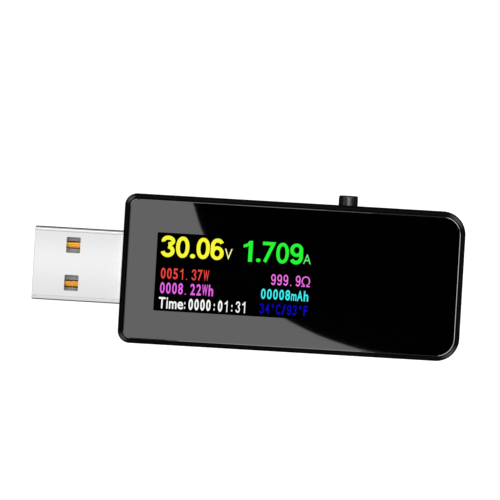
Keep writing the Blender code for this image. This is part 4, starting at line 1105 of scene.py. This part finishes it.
VIEW_CENTRE = (-7.095 * MM, 4.071 * MM)
VIEW_ROLL = math.radians(3.38)
VIEW_HEIGHT = 0.8
VIEW_WIDTH = 81.6 * MM
SWEEP_HEIGHT = 0.3
CARD_LEVEL = LENS_HIGH.z + 0.06
FLOOR_REACH = 8.0

# Strength of the card that the plug mirrors, by Y in millimetres.
PLUG_BANDS = [(-90, 0.55), (-58, 0.80), (-26, 0.90), (-12, 0.50), (-7.2, 0.86), (-3.0, 0.93), (-1.0, 1.0),
              (1.8, 1.0), (3.8, 0.93), (7.4, 0.86), (12, 0.50), (22, 0.60), (25, 2.6), (35, 2.6), (38, 0.80),
              (56, 0.40), (90, 0.35)]
FADE = [(12.9, 0.15), (18, 0.15), (22, 1.0), (45, 1.0)]
# Small cards close over the object: two corners in millimetres, strength, and its bands along Y.
CARDS = {
    "card_plug": (-56, -90, -28.7, 90, 1.10, PLUG_BANDS),
    "card_plug_tip": (-110, -85, -56, 85, 0.95, ()),
    "card_button_start": (-27, 12.9, -10, 45, 4.6, FADE),
    "card_button": (-10, 12.9, 6, 45, 4.6, ()),
    "card_button_mid": (6, 12.9, 14, 30, 5.7, ()),
    "card_button_end": (14, 12.2, 23, 18.5, 5.2, ()),
    "card_button_fall": (23, 12.2, 40, 18.5, 4.2, ()),
    "card_front": (-19, -80, 13.5, -13.1, 1.45, ()),
    "card_right": (37.6, -50, 77, 12.5, 3.6, ()),
    "card_corner_back": (33, 24, 75, 65, 3.8, ()),
    "card_corner_front": (30, -50, 37.6, -13.5, 3.6, ()),
}
# Brightness of the studio by elevation, from straight below (0) to overhead (1).
STUDIO = [(0.0, 0.015), (0.20, 0.015), (0.25, 0.04), (0.49, 0.04), (0.51, 0.065), (0.66, 0.11),
          (0.74, 0.275), (0.92, 0.275), (0.955, 0.0004), (1.0, 0.0002)]


def card(name, outline, strength, bands=()):
    """A lit card that only mirrors in glossy surfaces, even or with its strength varied along Y."""
    material = bpy.data.materials.new(name)
    nodes = Nodes(material)
    light = nodes.node("Emission", {"Strength": strength})
    if bands:
        low, high = bands[0][0], bands[-1][0]
        stops = [((y - low) / (high - low), share) for y, share in bands]
        place = nodes.span(nodes.part("Y"), low * MM, high * MM)
        nodes.give(light.inputs["Color"], nodes.ramp(place, stops))
    nodes.node("OutputMaterial", {0: light.outputs[0]})
    made = sheet(name, outline, [tuple(range(len(outline)))])
    made.data.materials.append(material)
    for flag in ("camera", "diffuse", "transmission", "volume_scatter", "shadow"):
        setattr(made, "visible_" + flag, False)


def mirrored(x, y):
    """Where the sweep has to be for the camera to see it mirrored at a point of the lens, in millimetres."""
    share = SWEEP_HEIGHT / VIEW_HEIGHT
    away = (x * MM - VIEW_CENTRE[0], y * MM - VIEW_CENTRE[1])
    return (x * MM + share * away[0], y * MM + share * away[1], LENS_HIGH.z + SWEEP_HEIGHT)


def curve_through(points, steps=10):
    """A smooth curve through points: each stretch is a cubic that also minds the points beyond its ends."""
    padded = [Vector(p) for p in (points[0], *points, points[-1])]
    curve = []
    for a, b, c, d in zip(padded, padded[1:], padded[2:], padded[3:]):
        for i in range(steps):
            t = i / steps
            cubic = (2 * a - 5 * b + 4 * c - d) * t * t + (3 * b - a - 3 * c + d) * t ** 3
            curve.append((2 * b + (c - a) * t + cubic) / 2)
    return curve + [padded[-1]]


def make_cards():
    """The cards that the glossy surfaces mirror: the curved sweep in the lens, and the small ones."""
    sweep = curve_through([(-17.6, 13.2), (-16.9, 11.4), (-14.8, 6.1), (-11.9, 2.0), (-7.0, -3.0),
                           (-1.1, -6.6), (4.8, -9.15), (10.0, -10.66), (14.5, -11.55), (19.0, -12.2)])
    sweep += [(19.0, -17.0), (-28.3, -17.0), (-28.3, 13.2)]
    card("card_sweep", [mirrored(x, y) for x, y in sweep], 3.05)
    for name, (x0, y0, x1, y1, strength, bands) in CARDS.items():
        corners = [(x * MM, y * MM, CARD_LEVEL) for x, y in ((x0, y0), (x1, y0), (x1, y1), (x0, y1))]
        card(name, corners, strength, bands)


def make_floor():
    """A plain pale floor, lit evenly, that is clear from below."""
    reach = FLOOR_REACH
    floor = sheet("floor", [(-reach, -reach, 0), (reach, -reach, 0), (reach, reach, 0), (-reach, reach, 0)],
                  [(0, 1, 2, 3)])
    floor.location.z = -0.05 * MM
    floor.visible_glossy = False
    material = bpy.data.materials.new("floor_white")
    nodes = Nodes(material)
    pale = nodes.node("BsdfDiffuse", {"Color": (0.35, 0.35, 0.35)}).outputs[0]
    lit = nodes.node("Emission", {"Strength": 0.90}).outputs[0]
    both = nodes.node("AddShader", {0: pale, 1: lit}).outputs[0]
    clear = nodes.node("BsdfTransparent").outputs[0]
    below = nodes.node("NewGeometry").outputs["Backfacing"]
    nodes.node("OutputMaterial", {0: nodes.node("MixShader", {0: below, 1: both, 2: clear}).outputs[0]})
    floor.data.materials.append(material)


def make_world():
    """A studio whose brightness depends on elevation: dark overhead, a bright band, and a dim horizon."""
    world = bpy.data.worlds.new("studio")
    bpy.context.scene.world = world
    nodes = Nodes(world)
    glow = nodes.ramp(nodes.span(nodes.part("Z", "Generated"), -1.0, 1.0), STUDIO)
    along = nodes.part("Y", "Generated")
    side = nodes.span(along, -1.0, 1.0, 4.0, 2.4)
    wings = nodes.span(nodes.maths("ABSOLUTE", along), 0.10, 0.40, 0.4, 1.0)
    strength = nodes.maths("MULTIPLY", side, wings)
    sky = nodes.node("Background", {"Color": glow, "Strength": strength}).outputs[0]
    white = nodes.node("Background", {"Color": (1.0, 1.0, 1.0)}).outputs[0]
    seen = nodes.node("LightPath").outputs["Is Camera Ray"]
    nodes.node("OutputWorld", {0: nodes.node("MixShader", {0: seen, 1: sky, 2: white}).outputs[0]})


def soft_light(name, place, aim, size, energy):
    """A broad soft light for matt surfaces: glossy ones mirror the cards instead."""
    light = bpy.data.lights.new(name, "AREA")
    light.shape = "SQUARE"
    light.size = size
    light.energy = energy
    placed = put(name, light)
    placed.location = place
    placed.rotation_euler = (Vector(aim) - Vector(place)).to_track_quat("-Z", "Y").to_euler()
    placed.visible_glossy = False
    placed.visible_camera = False


def make_camera():
    camera = bpy.data.cameras.new("camera")
    camera.lens = camera.sensor_width * VIEW_HEIGHT / VIEW_WIDTH
    camera.clip_start, camera.clip_end = 0.05, 10.0
    placed = put("camera", camera)
    placed.location = (*VIEW_CENTRE, CASE_TOP + VIEW_HEIGHT)
    placed.rotation_euler = (0.0, 0.0, VIEW_ROLL)
    bpy.context.scene.camera = placed


for look, nodes in CARRIED:
    for node in nodes:
        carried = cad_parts[node]
        carried.data.materials.clear()
        carried.data.materials.append(look)

make_case_front()
make_case_back()
make_lens()
make_readout()
make_plug_sleeve()
make_plug_inside()
make_socket_sleeve()
make_socket_inside()
make_button()
make_snap_dome()
make_cards()
make_floor()
make_world()
soft_light("overhead", (-0.10, 0.06, 0.9), (0.0, 0.0, 0.0), 0.9, 7.0)
soft_light("socket_side", (0.75, -0.05, 0.5), (0.02, 0.0, 0.01), 0.35, 5.0)
make_camera()
settings = bpy.context.scene.view_settings
settings.view_transform = "Standard"
settings.look = "None"

bpy.context.view_layer.update()
